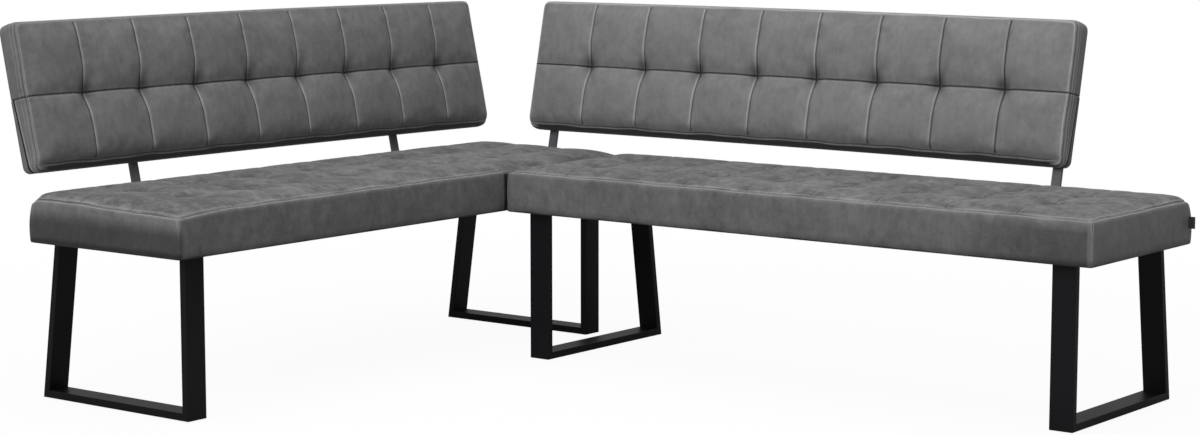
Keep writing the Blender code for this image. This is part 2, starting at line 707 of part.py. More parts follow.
class Backrest:
    """A backrest on two uprights; its own X runs against its section's X, and 0 is its middle."""

    def __init__(self, name, section, start):
        self.name = name
        self.middle = start + BACKREST_LENGTH / 2
        matrix = Matrix.Translation((self.middle, 0, 0)) @ backrest_matrix()
        self.axis = add_empty(name + "_lean", section.axis, matrix.to_translation(), matrix.to_euler())

    def add_pieces(self, upright_places, screw):
        """Board, cushion, rear cover and their screws, for uprights at places along the section."""
        offsets = [self.middle - place for place in upright_places]
        half = BACKREST_LENGTH / 2
        height = BACKREST_HEIGHT
        board_half = (half - BACKREST_BOARD_MARGIN, height / 2 - BACKREST_BOARD_MARGIN)
        radius = BACKREST_CORNER_RADIUS - BACKREST_BOARD_MARGIN
        board_outline = rounded_rectangle(*board_half, (radius,) * 4)
        board = add_object(
            self.name + "_backrest_board",
            prism_mesh("backrest_board", board_outline, 0, BACKREST_BOARD_THICKNESS),
            PLYWOOD,
            self.axis,
            (0, height / 2, BOARD_REAR_DEPTH),
        )
        head_seat = BAR_REAR_DEPTH - GAP
        top = head_seat + BACK_SCREW_LENGTH + SCREW_END_CLEARANCE - BOARD_REAR_DEPTH
        places = []
        for number, x in enumerate(offsets, 1):
            for which, place in (("lower", BACK_SCREW_LOW), ("upper", BACK_SCREW_HIGH)):
                places.append((x, place - height / 2))
                name = f"{self.name}_backrest_{which}_screw_{number}"
                add_object(name, screw, ZINC_SCREW, self.axis, (x, place, head_seat))
        hole_radius = BACK_SCREW_RADIUS + SCREW_CLEARANCE
        cut(board, *holes_at("board_hole", hole_radius, -BACKREST_BOARD_THICKNESS, top, places))
        self.add_cushion(board_half, radius)
        self.add_rear_cover(offsets, board_half, radius)

    def add_cushion(self, board_half, board_radius):
        half = BACKREST_LENGTH / 2
        height = BACKREST_HEIGHT
        cushion = add_object(
            self.name + "_backrest_cushion",
            quilted_mesh(
                "backrest_cushion",
                (BACKREST_LENGTH, height, BACKREST_THICKNESS),
                (BACKREST_CORNER_RADIUS, BACKREST_FRONT_EDGE_RADIUS, BACKREST_REAR_EDGE_RADIUS),
                BACKREST_CROWN,
                BACKREST_SIDE_BULGE,
                BACKREST_ROW_COUNT,
                BACKREST_GROOVE_DEPTH,
                BACKREST_TUFT_DEPTH,
            ),
            CHARCOAL_COVER,
            self.axis,
            (0, height / 2, 0),
        )
        pocket_half = (board_half[0] + GAP, board_half[1] + GAP)
        pocket = rounded_rectangle(*pocket_half, (board_radius + GAP,) * 4)
        board_front = BOARD_REAR_DEPTH + BACKREST_BOARD_THICKNESS + GAP
        cut(cushion, prism_mesh("pocket", pocket, BOARD_REAR_DEPTH - GAP, board_front))
        low, high = -BACKREST_THICKNESS, BOARD_REAR_DEPTH
        opening = self.rear_opening(board_half, board_radius)
        cut(cushion, prism_mesh("rear_opening", opening, low, high))
        beyond = BACKREST_THICKNESS
        slope = (REAR_COVER_BOTTOM_THICKNESS - REAR_COVER_TOP_THICKNESS) / COVER_TOP
        outline = [
            (-height / 2 - beyond, -beyond),
            (COVER_TOP - height / 2, -beyond),
            (COVER_TOP - height / 2, REAR_COVER_TOP_THICKNESS + GAP),
            (-height / 2 - beyond, REAR_COVER_BOTTOM_THICKNESS + GAP + slope * beyond),
        ]
        cut(cushion, prism_mesh("cover_space", outline, -half - beyond, half + beyond, axis=0))

    def rear_opening(self, board_half, board_radius):
        """The opening behind the board's lower half, which the rear cover closes."""
        margin = REAR_OPENING_MARGIN
        half = board_half[0] - margin
        low = BACKREST_BOARD_MARGIN + margin
        high = COVER_TOP - BACKREST_BOARD_MARGIN - margin
        radius = board_radius - margin
        outline = rounded_rectangle(half, (high - low) / 2, (radius, 0, 0, radius))
        middle = (low + high) / 2 - BACKREST_HEIGHT / 2
        return [(x, y + middle) for x, y in outline]

    def add_rear_cover(self, offsets, board_half, board_radius):
        """A wedge-shaped tray over the lower half of the back, notched at the bottom for the uprights."""
        half = BACKREST_LENGTH / 2
        tall = COVER_TOP - GAP
        slope = (REAR_COVER_BOTTOM_THICKNESS - REAR_COVER_TOP_THICKNESS) / COVER_TOP
        loops = []
        levels = (
            (0, 1),
            (0, REAR_COVER_SIDE_SHARE),
            (REAR_COVER_BEVEL_INSET, REAR_COVER_BEVEL_SHARE),
            (REAR_COVER_EDGE_RADIUS, 0),
        )
        for inset, share in levels:
            radius = BACKREST_CORNER_RADIUS - inset
            outline = rounded_rectangle(half - inset, tall / 2 - inset, (radius, 0, 0, radius))
            loop = []
            for x, y in outline:
                depth = REAR_COVER_BOTTOM_THICKNESS - slope * (y + tall / 2)
                loop.append((x, y, share * depth))
            loops.append(np.array(loop))
        cover = add_object(
            self.name + "_backrest_rear_cover",
            loops_mesh("rear_cover", loops, COVER_SMOOTH_ANGLE),
            CHARCOAL_COVER,
            self.axis,
            (0, tall / 2, 0),
        )
        shift = (BACKREST_HEIGHT - tall) / 2
        outline = [(x, y + shift) for x, y in self.rear_opening(board_half, board_radius)]
        cut(cover, prism_mesh("tray", outline, REAR_COVER_WALL, BACKREST_THICKNESS))
        recess_half = (board_half[0] + GAP, board_half[1] + GAP)
        recess = rounded_rectangle(*recess_half, (board_radius + GAP,) * 4)
        recess = [(x, y + shift) for x, y in recess]
        cut(cover, prism_mesh("board_recess", recess, BOARD_REAR_DEPTH - GAP, BACKREST_THICKNESS))
        side = UPRIGHT_WIDTH / 2 + GAP
        notch_top = BACKREST_BOARD_MARGIN + board_radius - tall / 2
        notches = []
        for x in offsets:
            low = (x - side, -tall, BAR_REAR_DEPTH - GAP)
            notches.append(box_mesh("notch", low, (x + side, notch_top, BACKREST_THICKNESS)))
        cut(cover, *notches)


def add_joining_plates(corner, side, screw):
    """Two flat plates under the joint, each with a screw into either seat board."""
    middle = (SEAT_DEPTH + SIDE_SEAT_START) / 2
    reach = middle - SEAT_DEPTH + JOINING_PLATE_REACH
    screw_reach = middle - SEAT_DEPTH + JOINING_SCREW_REACH
    radii = (JOINING_PLATE_CORNER_RADIUS,) * 4
    outline = rounded_rectangle(reach, JOINING_PLATE_WIDTH / 2, radii, PLATE_CORNER_STEPS)
    mesh = prism_mesh("joining_plate", outline, MOUNT_HEIGHT - JOINING_PLATE_THICKNESS, MOUNT_HEIGHT)
    low, high = MOUNT_HEIGHT - 2 * JOINING_PLATE_THICKNESS, MOUNT_HEIGHT + JOINING_PLATE_THICKNESS
    places = [(sign * screw_reach, 0) for sign in (-1, 1)]
    holes = holes_at("plate_hole", SEAT_SCREW_RADIUS + SCREW_CLEARANCE, low, high, places)
    plate = shared_mesh("joining_plate", mesh, holes)
    distances = (JOINING_PLATE_BACK_DISTANCE, SEAT_DEPTH - JOINING_PLATE_FRONT_DISTANCE)
    for which, distance in zip(("back", "front"), distances):
        add_object(which + "_joining_plate", plate, BLACK_STEEL, corner.axis.parent, (middle, -distance, 0))
        name = which + "_joining_screw"
        corner.add_screw(name + "_1", screw, (distance, middle - screw_reach), JOINING_PLATE_THICKNESS)
        along = SIDE_SEAT_END - (middle + screw_reach)
        side.add_screw(name + "_2", screw, (along, distance), JOINING_PLATE_THICKNESS)


def add_uprights(uprights, mesh, screw):
    """Each upright stands at a place along its section, or at the corner seat's end with a turned parent."""
    for name, section, parent, place in uprights:
        add_object(name, mesh, BLACK_STEEL, parent, (place, 0, 0))
        for number, side in enumerate((-1, 1), 1):
            x = place + side * FOOT_SCREW_SPACING / 2
            point = parent.matrix_local @ Vector((x, FOOT_SCREW_INSET, 0))
            if parent is not section.axis:
                point = section.axis.matrix_local.inverted() @ point
            else:
                point = Vector((x, FOOT_SCREW_INSET, 0))
            section.add_screw(f"{name}_foot_screw_{number}", screw, (point.x, point.y), FOOT_PLATE_THICKNESS)


def add_tag(side):
    """A folded, bare loop of ribbon in the outer rear corner of the side seat."""
    seam = -SEAT_SIDE_BULGE - GAP
    bottom = SEAT_UNDERSIDE_HEIGHT + TAG_RISE
    low = (seam - TAG_LENGTH, TAG_BACK_DISTANCE, bottom)
    high = (seam, TAG_BACK_DISTANCE + TAG_THICKNESS, bottom + TAG_HEIGHT)
    add_object("side_seat_tag", box_mesh("tag", low, high), DARK_LINING, side.axis)


def set_origin(root):
    """Puts the world's origin on the floor under the middle of the bench's box."""
    bpy.context.view_layer.update()
    graph = bpy.context.evaluated_depsgraph_get()
    corners = []
    for obj in bpy.data.objects:
        if obj.type == "MESH" and not obj.hide_render:
            shape = obj.evaluated_get(graph)
            corners += [shape.matrix_world @ Vector(c) for c in shape.bound_box]
    corners = np.array(corners)
    low, high = corners.min(axis=0), corners.max(axis=0)
    root.location = (-(low[0] + high[0]) / 2, -(low[1] + high[1]) / 2, -low[2])
    bpy.context.view_layer.update()


def main():
    clear_scene()
    root = add_empty("corner_bench")
    corner_legs = (INNER_LEG_INSET, CORNER_SEAT_LENGTH - OUTER_LEG_INSET)
    side_legs = (OUTER_LEG_INSET, SIDE_SEAT_LENGTH - INNER_LEG_INSET)
    ends = ("inner", "outer")
    corner = Section("corner", CORNER_SEAT_LENGTH, root, (0, 0, 0), -math.pi / 2, corner_legs, ends)
    start = (SIDE_SEAT_END, 0, 0)
    side = Section("side", SIDE_SEAT_LENGTH, root, start, math.pi, side_legs, ends[::-1])
    end = add_empty("corner_end", root, (SEAT_DEPTH, 0, 0), (0, 0, math.pi))
    bpy.context.view_layer.update()

    seat_screw = screw_mesh(
        "seat_screw", SEAT_SCREW_RADIUS, SEAT_SCREW_HEAD_RADIUS, SEAT_SCREW_HEAD_HEIGHT, SEAT_SCREW_LENGTH
    )
    back_screw = screw_mesh(
        "back_screw", BACK_SCREW_RADIUS, BACK_SCREW_HEAD_RADIUS, BACK_SCREW_HEAD_HEIGHT, BACK_SCREW_LENGTH
    )
    frame = shared_mesh("leg_frame", leg_frame_mesh(), [leg_hollow_mesh()], leg_frame_holes())
    glide = glide_mesh()
    for section in (corner, side):
        section.add_leg_frames(frame, glide, seat_screw)

    far_place = CORNER_SEAT_LENGTH - CORNER_OUTER_UPRIGHT_DISTANCE
    end_place = SEAT_DEPTH / 2
    inner_place = SIDE_SEAT_END - (SEAT_DEPTH - end_place)
    side_start = inner_place + SIDE_INNER_UPRIGHT_MARGIN - BACKREST_LENGTH
    side_outer_place = side_start + SIDE_OUTER_UPRIGHT_MARGIN
    uprights = (
        ("corner_upright_outer", corner, corner.axis, far_place),
        ("corner_upright_inner", corner, corner.axis, CORNER_INNER_UPRIGHT_DISTANCE),
        ("side_upright_inner", corner, end, end_place),
        ("side_upright_outer", side, side.axis, side_outer_place),
    )
    add_uprights(uprights, upright_mesh(), seat_screw)
    add_joining_plates(corner, side, seat_screw)
    for section in (corner, side):
        section.add_seat()

    corner_back = Backrest("corner", corner, CORNER_BACKREST_SETBACK)
    corner_back.add_pieces((CORNER_INNER_UPRIGHT_DISTANCE, far_place), back_screw)
    side_back = Backrest("side", side, side_start)
    side_back.add_pieces((side_outer_place, inner_place), back_screw)
    add_tag(side)
    set_origin(root)


main()
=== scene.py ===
"""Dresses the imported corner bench: quilted covers, sewn seams, finishes, floor, light and camera.

Run as a script in Blender 4.5. The CAD model is loaded as a fixed frame, and every new piece is worked out from
the boxes of its nodes and the sizes below.
"""

import math
from types import SimpleNamespace

import bmesh
import bpy
import numpy as np
from mathutils import Matrix, Vector
from mathutils.bvhtree import BVHTree


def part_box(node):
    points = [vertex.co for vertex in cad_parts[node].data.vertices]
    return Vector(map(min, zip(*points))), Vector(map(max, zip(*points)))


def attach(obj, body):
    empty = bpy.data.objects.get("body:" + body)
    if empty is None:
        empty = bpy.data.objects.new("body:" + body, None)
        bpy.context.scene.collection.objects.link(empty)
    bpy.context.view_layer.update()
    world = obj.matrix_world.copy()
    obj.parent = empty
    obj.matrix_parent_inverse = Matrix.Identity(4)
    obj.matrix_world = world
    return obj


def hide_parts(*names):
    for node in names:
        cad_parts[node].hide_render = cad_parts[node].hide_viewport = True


bl_info = {
    "name": "Corner Bench Dressing",
    "version": (1, 0, 0),
    "blender": (4, 5, 0),
    "location": "View3D > Sidebar > Bench",
    "description": "Covers, seams, finishes and studio for an upholstered corner bench",
    "category": "Object",
}

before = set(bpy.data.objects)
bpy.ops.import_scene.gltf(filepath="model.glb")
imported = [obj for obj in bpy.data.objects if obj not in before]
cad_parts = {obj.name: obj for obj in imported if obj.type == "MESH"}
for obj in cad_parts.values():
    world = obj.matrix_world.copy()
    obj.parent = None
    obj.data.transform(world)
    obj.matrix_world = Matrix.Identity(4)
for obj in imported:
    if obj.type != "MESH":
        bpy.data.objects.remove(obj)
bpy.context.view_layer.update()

# Sizes that repeat the CAD model's, in metres
GAP = 0.0003
COLUMNS = 9
COLUMN_WIDTH = 0.184
SEAT_DEPTH = 0.513
SEAT_THICKNESS = 0.104
SEAT_RADII = (0.008, 0.005)
SEAT_BULGE = 0.0025
SEAT_BOARD_MARGIN = 0.010
BACKREST_LENGTH = 1.642
BACKREST_HEIGHT = 0.359
BACKREST_THICKNESS = 0.065
BACKREST_LEAN = math.radians(12.5)
BACKREST_OVERHANG = 0.031
BACKREST_RISE = 0.161
BACKREST_BULGE = 0.002
BACK_BOARD_MARGIN = 0.012
BACK_BOARD_CORNER = 0.008
BACK_BOARD_THICKNESS = 0.012
COVER_WALL = 0.0025
OPENING_MARGIN = 0.001
BAR_REAR = 0.0064
BAR_FRONT = 0.0144
BAR_WIDTH = 0.025

# Sizes in which the covers stray from the CAD model, to follow the photo: corner radii, the depth of the rear
# covers and the gap above them, each backrest's lift and reach at its two ends, its bow, and each seat's crown
SEAT_CORNER = 0.011
SEAT_POCKET = 0.0224
BACK_CORNER = 0.018
BACK_RADII = (0.011, 0.006)
COVER_BOTTOM = 0.028
COVER_TOP = 0.012
COVER_GAP = 0.0036
COVER_SLOPE = (COVER_BOTTOM - COVER_TOP) / (BACKREST_HEIGHT / 2)
BACK_LIFT = {"corner": (0.0085, 0.0020), "side": (0.0065, 0.0040)}
BACK_REACH = {"corner": (0.0030, 0.0065), "side": (0.0140, 0.0045)}
BACK_BOW = 0.003
BACK_CROWN = 0.008
SEAT_CROWN = {"corner": 0.0015, "side": -0.0015}

# The grid's spacing on the cushions, the steps at which it is finer beside a seam, and where the double seam
# lies from the turn
SPACING = 0.0095
BESIDE_SEAM = (0, 0.004, 0.009, 0.018)
BACK_SEAM = -0.0135
SEAT_SEAM = 0.0008

# The cloth simulation: its frames, how far it swells the cloth and how far a point may move
AIR_FRAMES = 20
AIR_SWELL = 0.012
AIR_LIMIT = 0.006

# Tone of each cover in its range, with the differences between the covers painted light and shade, and the painted
# black that stands in for the shade in their gaps
TONES_WITH_PAINTED_LIGHT = {"corner_seat": 0.34, "side_seat": 0.37, "corner_backrest": 0.52, "side_backrest": 0.80}
PAINTED_SHADE_BLACK = (0.002, 0.002, 0.002)
WHITE = (1, 1, 1, 1)

# The camera, solved from the photograph in the bench's own corner axes: from the seats' back corner on the floor
CAMERA_FROM_CORNER = (4.8216, -5.7111, 1.2269)
CAMERA_TURN = 0.655
CAMERA_PITCH = 0.126
FOCAL_IN_PIXELS = 2624.4
IMAGE_WIDTH = 1200
SENSOR_WIDTH = 36.0


def math_method(operation, swapped=False):
    """A method of Socket that adds one Math node over the socket and other values, in turned order if swapped."""

    def method(self, *others):
        values = (self, *others)
        return self.math(operation, *(values[::-1] if swapped else values))

    return method


class Socket:
    """A shader socket that takes part in Python arithmetic: each operator adds the Math node it stands for."""

    __add__ = __radd__ = math_method("ADD")
    __sub__, __rsub__ = math_method("SUBTRACT"), math_method("SUBTRACT", swapped=True)
    __mul__ = __rmul__ = math_method("MULTIPLY")
    __truediv__ = math_method("DIVIDE")
    __pow__ = math_method("POWER")
    __abs__ = math_method("ABSOLUTE")
    fraction = math_method("FRACT")
    most = math_method("MAXIMUM")
    above = math_method("GREATER_THAN")
    below = math_method("LESS_THAN")

    def __init__(self, tree, socket):
        self.tree = tree
        self.socket = socket

    def math(self, operation, *values, clamp=False):
        node = self.tree.nodes.new("ShaderNodeMath")
        node.operation = operation
        node.use_clamp = clamp
        for slot, value in zip(node.inputs, values):
            if isinstance(value, Socket):
                self.tree.links.new(value.socket, slot)
            else:
                slot.default_value = value
        return Socket(self.tree, node.outputs[0])

    def clamp(self):
        return self.math("ADD", self, 0.0, clamp=True)

    def ramp(self, start, width):
        """0 up to the start and 1 from a width further on, or further back where the width is negative."""
        return ((self - start) / width).clamp()

    def bell(self, width):
        """1 where the value is 0, falling off smoothly over the width: e to the minus its scaled square."""
        scaled = self / width
        return self.math("EXPONENT", scaled * scaled * -1.0)

    def to_nearest(self, spacing):
        """Signed distance to the nearest line of a row of them, the first half a spacing from 0."""
        return ((self / spacing + 100.0).fraction() - 0.5) * spacing


class Nodes:
    """The node tree of a material or a world, with one method that adds any node."""

    def __init__(self, owner):
        owner.use_nodes = True
        self.tree = owner.node_tree

    def node(self, kind, settings=None, inputs=None, output=0):
        """Adds a node of a kind, sets its settings, fills its sockets by name or number, and gives an output."""
        made = self.tree.nodes.new("ShaderNode" + kind)
        for key, value in (settings or {}).items():
            setattr(made, key, value)
        for key, value in (inputs or {}).items():
            self.put(made.inputs[key], value)
        return Socket(self.tree, made.outputs[output])

    def put(self, slot, value):
        if isinstance(value, Socket):
            self.tree.links.new(value.socket, slot)
        else:
            slot.default_value = value


class Shader(Nodes):
    """A new material's node tree."""

    def __init__(self, name):
        self.material = bpy.data.materials.new(name)
        super().__init__(self.material)
        self.surface = self.tree.nodes["Principled BSDF"]

    def set(self, **values):
        """Fills the surface shader's sockets, with _ for a space in their names."""
        for key, value in values.items():
            self.put(self.surface.inputs[key.replace("_", " ")], value)

    def place(self, scale=(1, 1, 1)):
        where = self.node("TexCoord", output=3)
        return self.node("Mapping", inputs={"Vector": where, "Scale": scale})

    def noise(self, scale, detail=4.0, roughness=0.55, stretch=(1, 1, 1), distortion=0.0, kind="FBM"):
        fills = {"Vector": self.place(stretch), "Scale": scale, "Detail": detail}
        fills.update({"Roughness": roughness, "Distortion": distortion})
        return self.node("TexNoise", {"noise_type": kind}, fills)

    def value(self, name):
        """A point attribute of one number."""
        return self.node("Attribute", {"attribute_name": name}, output=2)

    def attribute(self, name):
        """The three parts of a point attribute."""
        return self.axes(self.node("Attribute", {"attribute_name": name}, output=1))

    def axes(self, vector):
        split = self.tree.nodes.new("ShaderNodeSeparateXYZ")
        self.tree.links.new(vector.socket, split.inputs[0])
        return [Socket(self.tree, out) for out in split.outputs]

    def mix(self, factor, low, high):
        """A colour between two, each a link or three numbers."""
        low, high = (value if isinstance(value, Socket) else (*value, 1.0) for value in (low, high))
        return self.node("Mix", {"data_type": "RGBA"}, {0: factor, 6: low, 7: high}, output=2)

    def bump(self, height, distance, strength=1.0, normal=None):
        fills = {"Height": height, "Distance": distance, "Strength": strength}
        if normal:
            fills["Normal"] = normal
        return self.node("Bump", inputs=fills)


def smooth_step(t):
    t = np.clip(t, 0, 1)
    return t * t * (3 - 2 * t)


def bell(distance, width):
    """1 at a distance of 0, falling off smoothly over the width: e to the minus their ratio's square."""
    return np.exp(-((distance / width) ** 2))


def wander(u, v):
    """How far a hand-guided seam strays from its line: two slow waves along the edge."""
    return 0.0010 * (np.sin(23 * (u + v) + 0.7) + 0.7 * np.sin(53 * (u - v) + 2.0))


def groove(distance):
    """How deep a turn's seam is sunk at a distance from it."""
    return 0.0012 * bell(distance, 0.0022)


def lines_through(knots, spacing):
    """Coordinates from the first knot to the last that pass through every knot, about a spacing apart."""
    knots = np.unique(np.round(knots, 6))
    parts = []
    for a, b in zip(knots, knots[1:]):
        count = max(1, math.ceil((b - a) / spacing - 0.01))
        parts.append(np.linspace(a, b, count, endpoint=False))
    return np.append(np.concatenate(parts), knots[-1])


def to_nearest(positions, seams):
    """Signed distance to the nearest seam."""
    gaps = positions[:, None] - np.array(seams)[None, :]
    return gaps[np.arange(len(positions)), np.argmin(abs(gaps), axis=1)]


def band(low, high):
    """The quads between two closed rings of points, given by their numbers."""
    return np.stack([low, np.roll(low, -1), np.roll(high, -1), high], axis=-1)


class Slab:
    """A closed cushion as one grid over its face and rings down its sides, in its own axes.

    The face is a grid of u and v. Its corner squares are pulled onto quarter discs: a point (a, b) of the unit
    square goes to (a sqrt(1 - b b / 2), b sqrt(1 - a a / 2)). Each ring keeps the u and v of the face's edge and
    moves in or out from it, at a level that falls from the face to the base. Every row of data holds a point's
    x, y and z, its u and v, and its distance from the turn (more on the face, less down the sides).
    """

    points = property(lambda self: self.data[:, :3])
    u = property(lambda self: self.data[:, 3])
    v = property(lambda self: self.data[:, 4])
    d = property(lambda self: self.data[:, 5])

    def __init__(self, size, corner, radii, bulge, seams, turn_seam):
        self.size, self.corner = size, corner
        self.half = (size[0] / 2 - radii[0], size[1] / 2 - radii[0])
        self.zone = corner - radii[0]
        grid_u, grid_v = np.meshgrid(*map(self._lines, self.half, seams), indexing="ij")
        inside = np.minimum(self.half[0] - abs(grid_u), self.half[1] - abs(grid_v))
        self.face_count = grid_u.size
        self.data = np.empty((0, 6))
        index = self._add(grid_u, grid_v, self.zone, size[2] - groove(inside - turn_seam), inside)
        index = index.reshape(grid_u.shape)
        squares = (index[:-1, :-1], index[1:, :-1], index[1:, 1:], index[:-1, 1:])
        self.face_quads = self.quads = np.stack(squares, axis=-1).reshape(-1, 4)
        self.edge = self.ring = np.concatenate([index[:-1, 0], index[-1, :-1], index[:0:-1, -1], index[0, :0:-1]])
        for ring in self._levels(radii, bulge, turn_seam):
            self.add_ring(*ring)

    def _lines(self, half, seams):
        knots = [-half, half, self.zone - half, half - self.zone, 0.003 - half, half - 0.003]
        for seam in seams:
            knots += [seam + side * step for side in (-1, 1) for step in BESIDE_SEAM]
        return lines_through(knots, SPACING)

    def _levels(self, radii, bulge, turn_seam):
        """Inset, level and distance of each ring: the turn's arc, the bulging side and the base's arc.

        Rings lie at even ways down each of the three, and at and beside the seam, which is sunk along the normal.
        """
        radius, base_radius = radii
        thickness = self.size[2]
        turn, base = radius * math.pi / 2, base_radius * math.pi / 2
        side = thickness - radius - base_radius
        steps = np.linspace(0, turn, max(3, round(radius / 0.004)) + 1)[1:]
        down = turn + np.linspace(0, side, max(2, round(side / SPACING)) + 1)[1:]
        under = turn + side + np.linspace(0, base, 4)[1:]
        beside = np.array([-0.003, 0, 0.003]) - turn_seam
        beside = beside[beside > 0.001]
        ways = np.concatenate([steps, down])
        ways = ways[np.min(abs(ways[:, None] - beside), axis=1) > 0.0016]
        ways = np.concatenate([np.sort(np.concatenate([ways, beside])), under])
        angle = np.clip(ways / radius, 0, math.pi / 2)
        share = np.clip((ways - turn) / side, 0, 1)
        last = np.clip((ways - turn - side) / base_radius, 0, math.pi / 2)
        sunk = groove(-ways - turn_seam)
        inset = radius * (1 - np.sin(angle)) - bulge * np.sin(math.pi * share) + base_radius * (1 - np.cos(last))
        level = thickness - radius * (1 - np.cos(angle)) - side * share - base_radius * np.sin(last)
        return np.stack([inset + sunk * np.sin(angle), level - sunk * np.cos(angle), -ways], axis=-1)

    def placed(self, u, v, radius):
        """Positions of edge or face points, for corners of a radius round the squares' inner corners."""
        core_u, core_v = self.half[0] - self.zone, self.half[1] - self.zone
        a = np.clip((abs(u) - core_u) / self.zone, 0, 1)
        b = np.clip((abs(v) - core_v) / self.zone, 0, 1)
        x = np.sign(u) * (np.minimum(abs(u), core_u) + radius * a * np.sqrt(1 - b * b / 2))
        y = np.sign(v) * (np.minimum(abs(v), core_v) + radius * b * np.sqrt(1 - a * a / 2))
        return x, y

    def _add(self, u, v, radius, level, distance):
        """Adds points for places u and v of the face and gives their numbers."""
        x, y = self.placed(u, v, radius)
        ones = np.ones_like(x)
        rows = np.stack([x, y, level * ones, u, v, distance * ones], axis=-1).reshape(-1, 6)
        self.data = np.vstack([self.data, rows])
        return np.arange(len(self.data) - len(rows), len(self.data))

    def add_ring(self, inset, level, distance=-1.0):
        """Carries the skin on from the last ring to a new one, drawn in by an inset and laid at a level."""
        ring = self._add(self.u[self.edge], self.v[self.edge], self.corner - inset, level, distance)
        self.quads = np.concatenate([self.quads, band(self.ring, ring)])
        self.ring = ring

    def close(self, inset, level):
        """Closes the last ring with the face's own grid, drawn in to the ring's inset and laid at its level."""
        index = np.full(self.face_count, -1)
        index[self.edge] = self.ring
        inner = np.flatnonzero(index < 0)
        index[inner] = self._add(self.u[inner], self.v[inner], self.corner - inset, level, -1.0)
        self.quads = np.concatenate([self.quads, index[self.face_quads][:, ::-1]])

    def mesh_object(self, name, matrix):
        """The slab as an object, with its pattern coordinates and the way round its corners as attributes."""
        beside = (self.half[0] - abs(self.u)) + (self.half[1] - abs(self.v))
        arc = self.corner * math.pi / 4
        way = np.where(beside < self.zone, beside / self.zone * arc, beside - self.zone + arc)
        quilt = np.stack([self.u, self.v, self.d + wander(self.u, self.v)], axis=-1)
        return new_object(name, self.points, self.quads, matrix, quilt=quilt, corner_way=way)


def linked(name, data):
    """A new object in the scene with its data."""
    obj = bpy.data.objects.new(name, data)
    bpy.context.scene.collection.objects.link(obj)
    return obj


def new_object(name, points, faces, matrix=None, **attributes):
    """A mesh object from points and faces, moved by a matrix, with point attributes and all faces outwards."""
    mesh = bpy.data.meshes.new(name)
    mesh.from_pydata(points.tolist(), [], [face.tolist() for face in faces])
    for key, values in attributes.items():
        kind, part = ("FLOAT", "value") if values.ndim == 1 else ("FLOAT_VECTOR", "vector")
        mesh.attributes.new(key, kind, "POINT").data.foreach_set(part, values.ravel())
    if matrix is not None:
        mesh.transform(matrix)
    mesh.shade_smooth()
    shape = bmesh.new()
    shape.from_mesh(mesh)
    bmesh.ops.recalc_face_normals(shape, faces=shape.faces)
    shape.to_mesh(mesh)
    shape.free()
    return linked(name, mesh)


def coordinates(mesh):
    flat = np.empty(len(mesh.vertices) * 3)
    mesh.vertices.foreach_get("co", flat)
    return flat.reshape(-1, 3)


def simulate(pads):
    """Fills pads with air under cloth physics and keeps the result, no point further than the limit.

    Each pad is an object and its pin weights. Points with weight 1 stay, and lower weights give way.
    """
    scene = bpy.context.scene
    scene.frame_start, scene.frame_end = 1, AIR_FRAMES
    choices = {"quality": 4, "mass": 0.3, "tension_stiffness": 25, "compression_stiffness": 25, "shear_stiffness": 8}
    choices.update({"bending_stiffness": 0.6, "use_pressure": True, "uniform_pressure_force": 4})
    choices.update({"vertex_group_mass": "held", "pin_stiffness": 1.0, "shrink_min": -AIR_SWELL})
    for obj, weights in pads:
        group = obj.vertex_groups.new(name="held")
        levels = np.round(weights, 2)
        for level in np.unique(levels[levels > 0]):
            group.add(np.flatnonzero(levels == level).tolist(), float(level), "REPLACE")
        cloth = obj.modifiers.new("air", "CLOTH")
        for key, value in choices.items():
            setattr(cloth.settings, key, value)
        cloth.settings.effector_weights.gravity = 0
        cloth.point_cache.frame_start, cloth.point_cache.frame_end = 1, AIR_FRAMES
    for number in range(1, AIR_FRAMES + 1):
        scene.frame_set(number)
    graph = bpy.context.evaluated_depsgraph_get()
    for obj, _ in pads:
        rest = coordinates(obj.data)
        move = coordinates(obj.evaluated_get(graph).data) - rest
        size = np.linalg.norm(move, axis=1, keepdims=True)
        size[size < 1e-9] = 1
        result = rest + move / size * (AIR_LIMIT * np.tanh(size / AIR_LIMIT))
        obj.modifiers.clear()
        obj.vertex_groups.clear()
        obj.data.vertices.foreach_set("co", result.ravel())
        obj.data.update()
    scene.frame_set(1)


def apply_modifier(obj, name, kind, **settings):
    """Adds a modifier to an object and bakes it into the mesh."""
    modifier = obj.modifiers.new(name, kind)
    for key, value in settings.items():
        setattr(modifier, key, value)
    graph = bpy.context.evaluated_depsgraph_get()
    mesh = bpy.data.meshes.new_from_object(obj.evaluated_get(graph), preserve_all_data_layers=True, depsgraph=graph)
    obj.modifiers.clear()
    obj.data = mesh


def prism(outline, low, high, axis, matrix):
    """A closed prism over an outline, from low to high along an axis, as a cutter."""
    outline = np.asarray(outline, float)
    count = len(outline)
    points = np.insert(np.vstack([outline, outline]), axis, np.repeat([low, high], count), axis=1)
    ring = np.arange(count)
    return new_object("cutter", points, [ring, *band(ring, ring + count), ring + count], matrix)


def cut_away(obj, cutters):
    """Cuts prisms out of a piece one after another and removes them."""
    for cutter in cutters:
        apply_modifier(obj, "cut", "BOOLEAN", operation="DIFFERENCE", solver="MANIFOLD", object=cutter)
        bpy.data.objects.remove(cutter, do_unlink=True)


def rounded_outline(half_x, half_y, radii, steps=5):
    """A rectangle's outline, anticlockwise from its +X -Y corner, with a radius for each corner."""
    points = []
    for corner, ((sx, sy), radius) in enumerate(zip(((1, -1), (1, 1), (-1, 1), (-1, -1)), radii)):
        if radius <= 0:
            points.append((sx * half_x, sy * half_y))
            continue
        start = (corner - 1) * math.pi / 2
        for angle in np.linspace(start, start + math.pi / 2, steps + 1):
            x = sx * (half_x - radius) + radius * math.cos(angle)
            points.append((x, sy * (half_y - radius) + radius * math.sin(angle)))
    return points


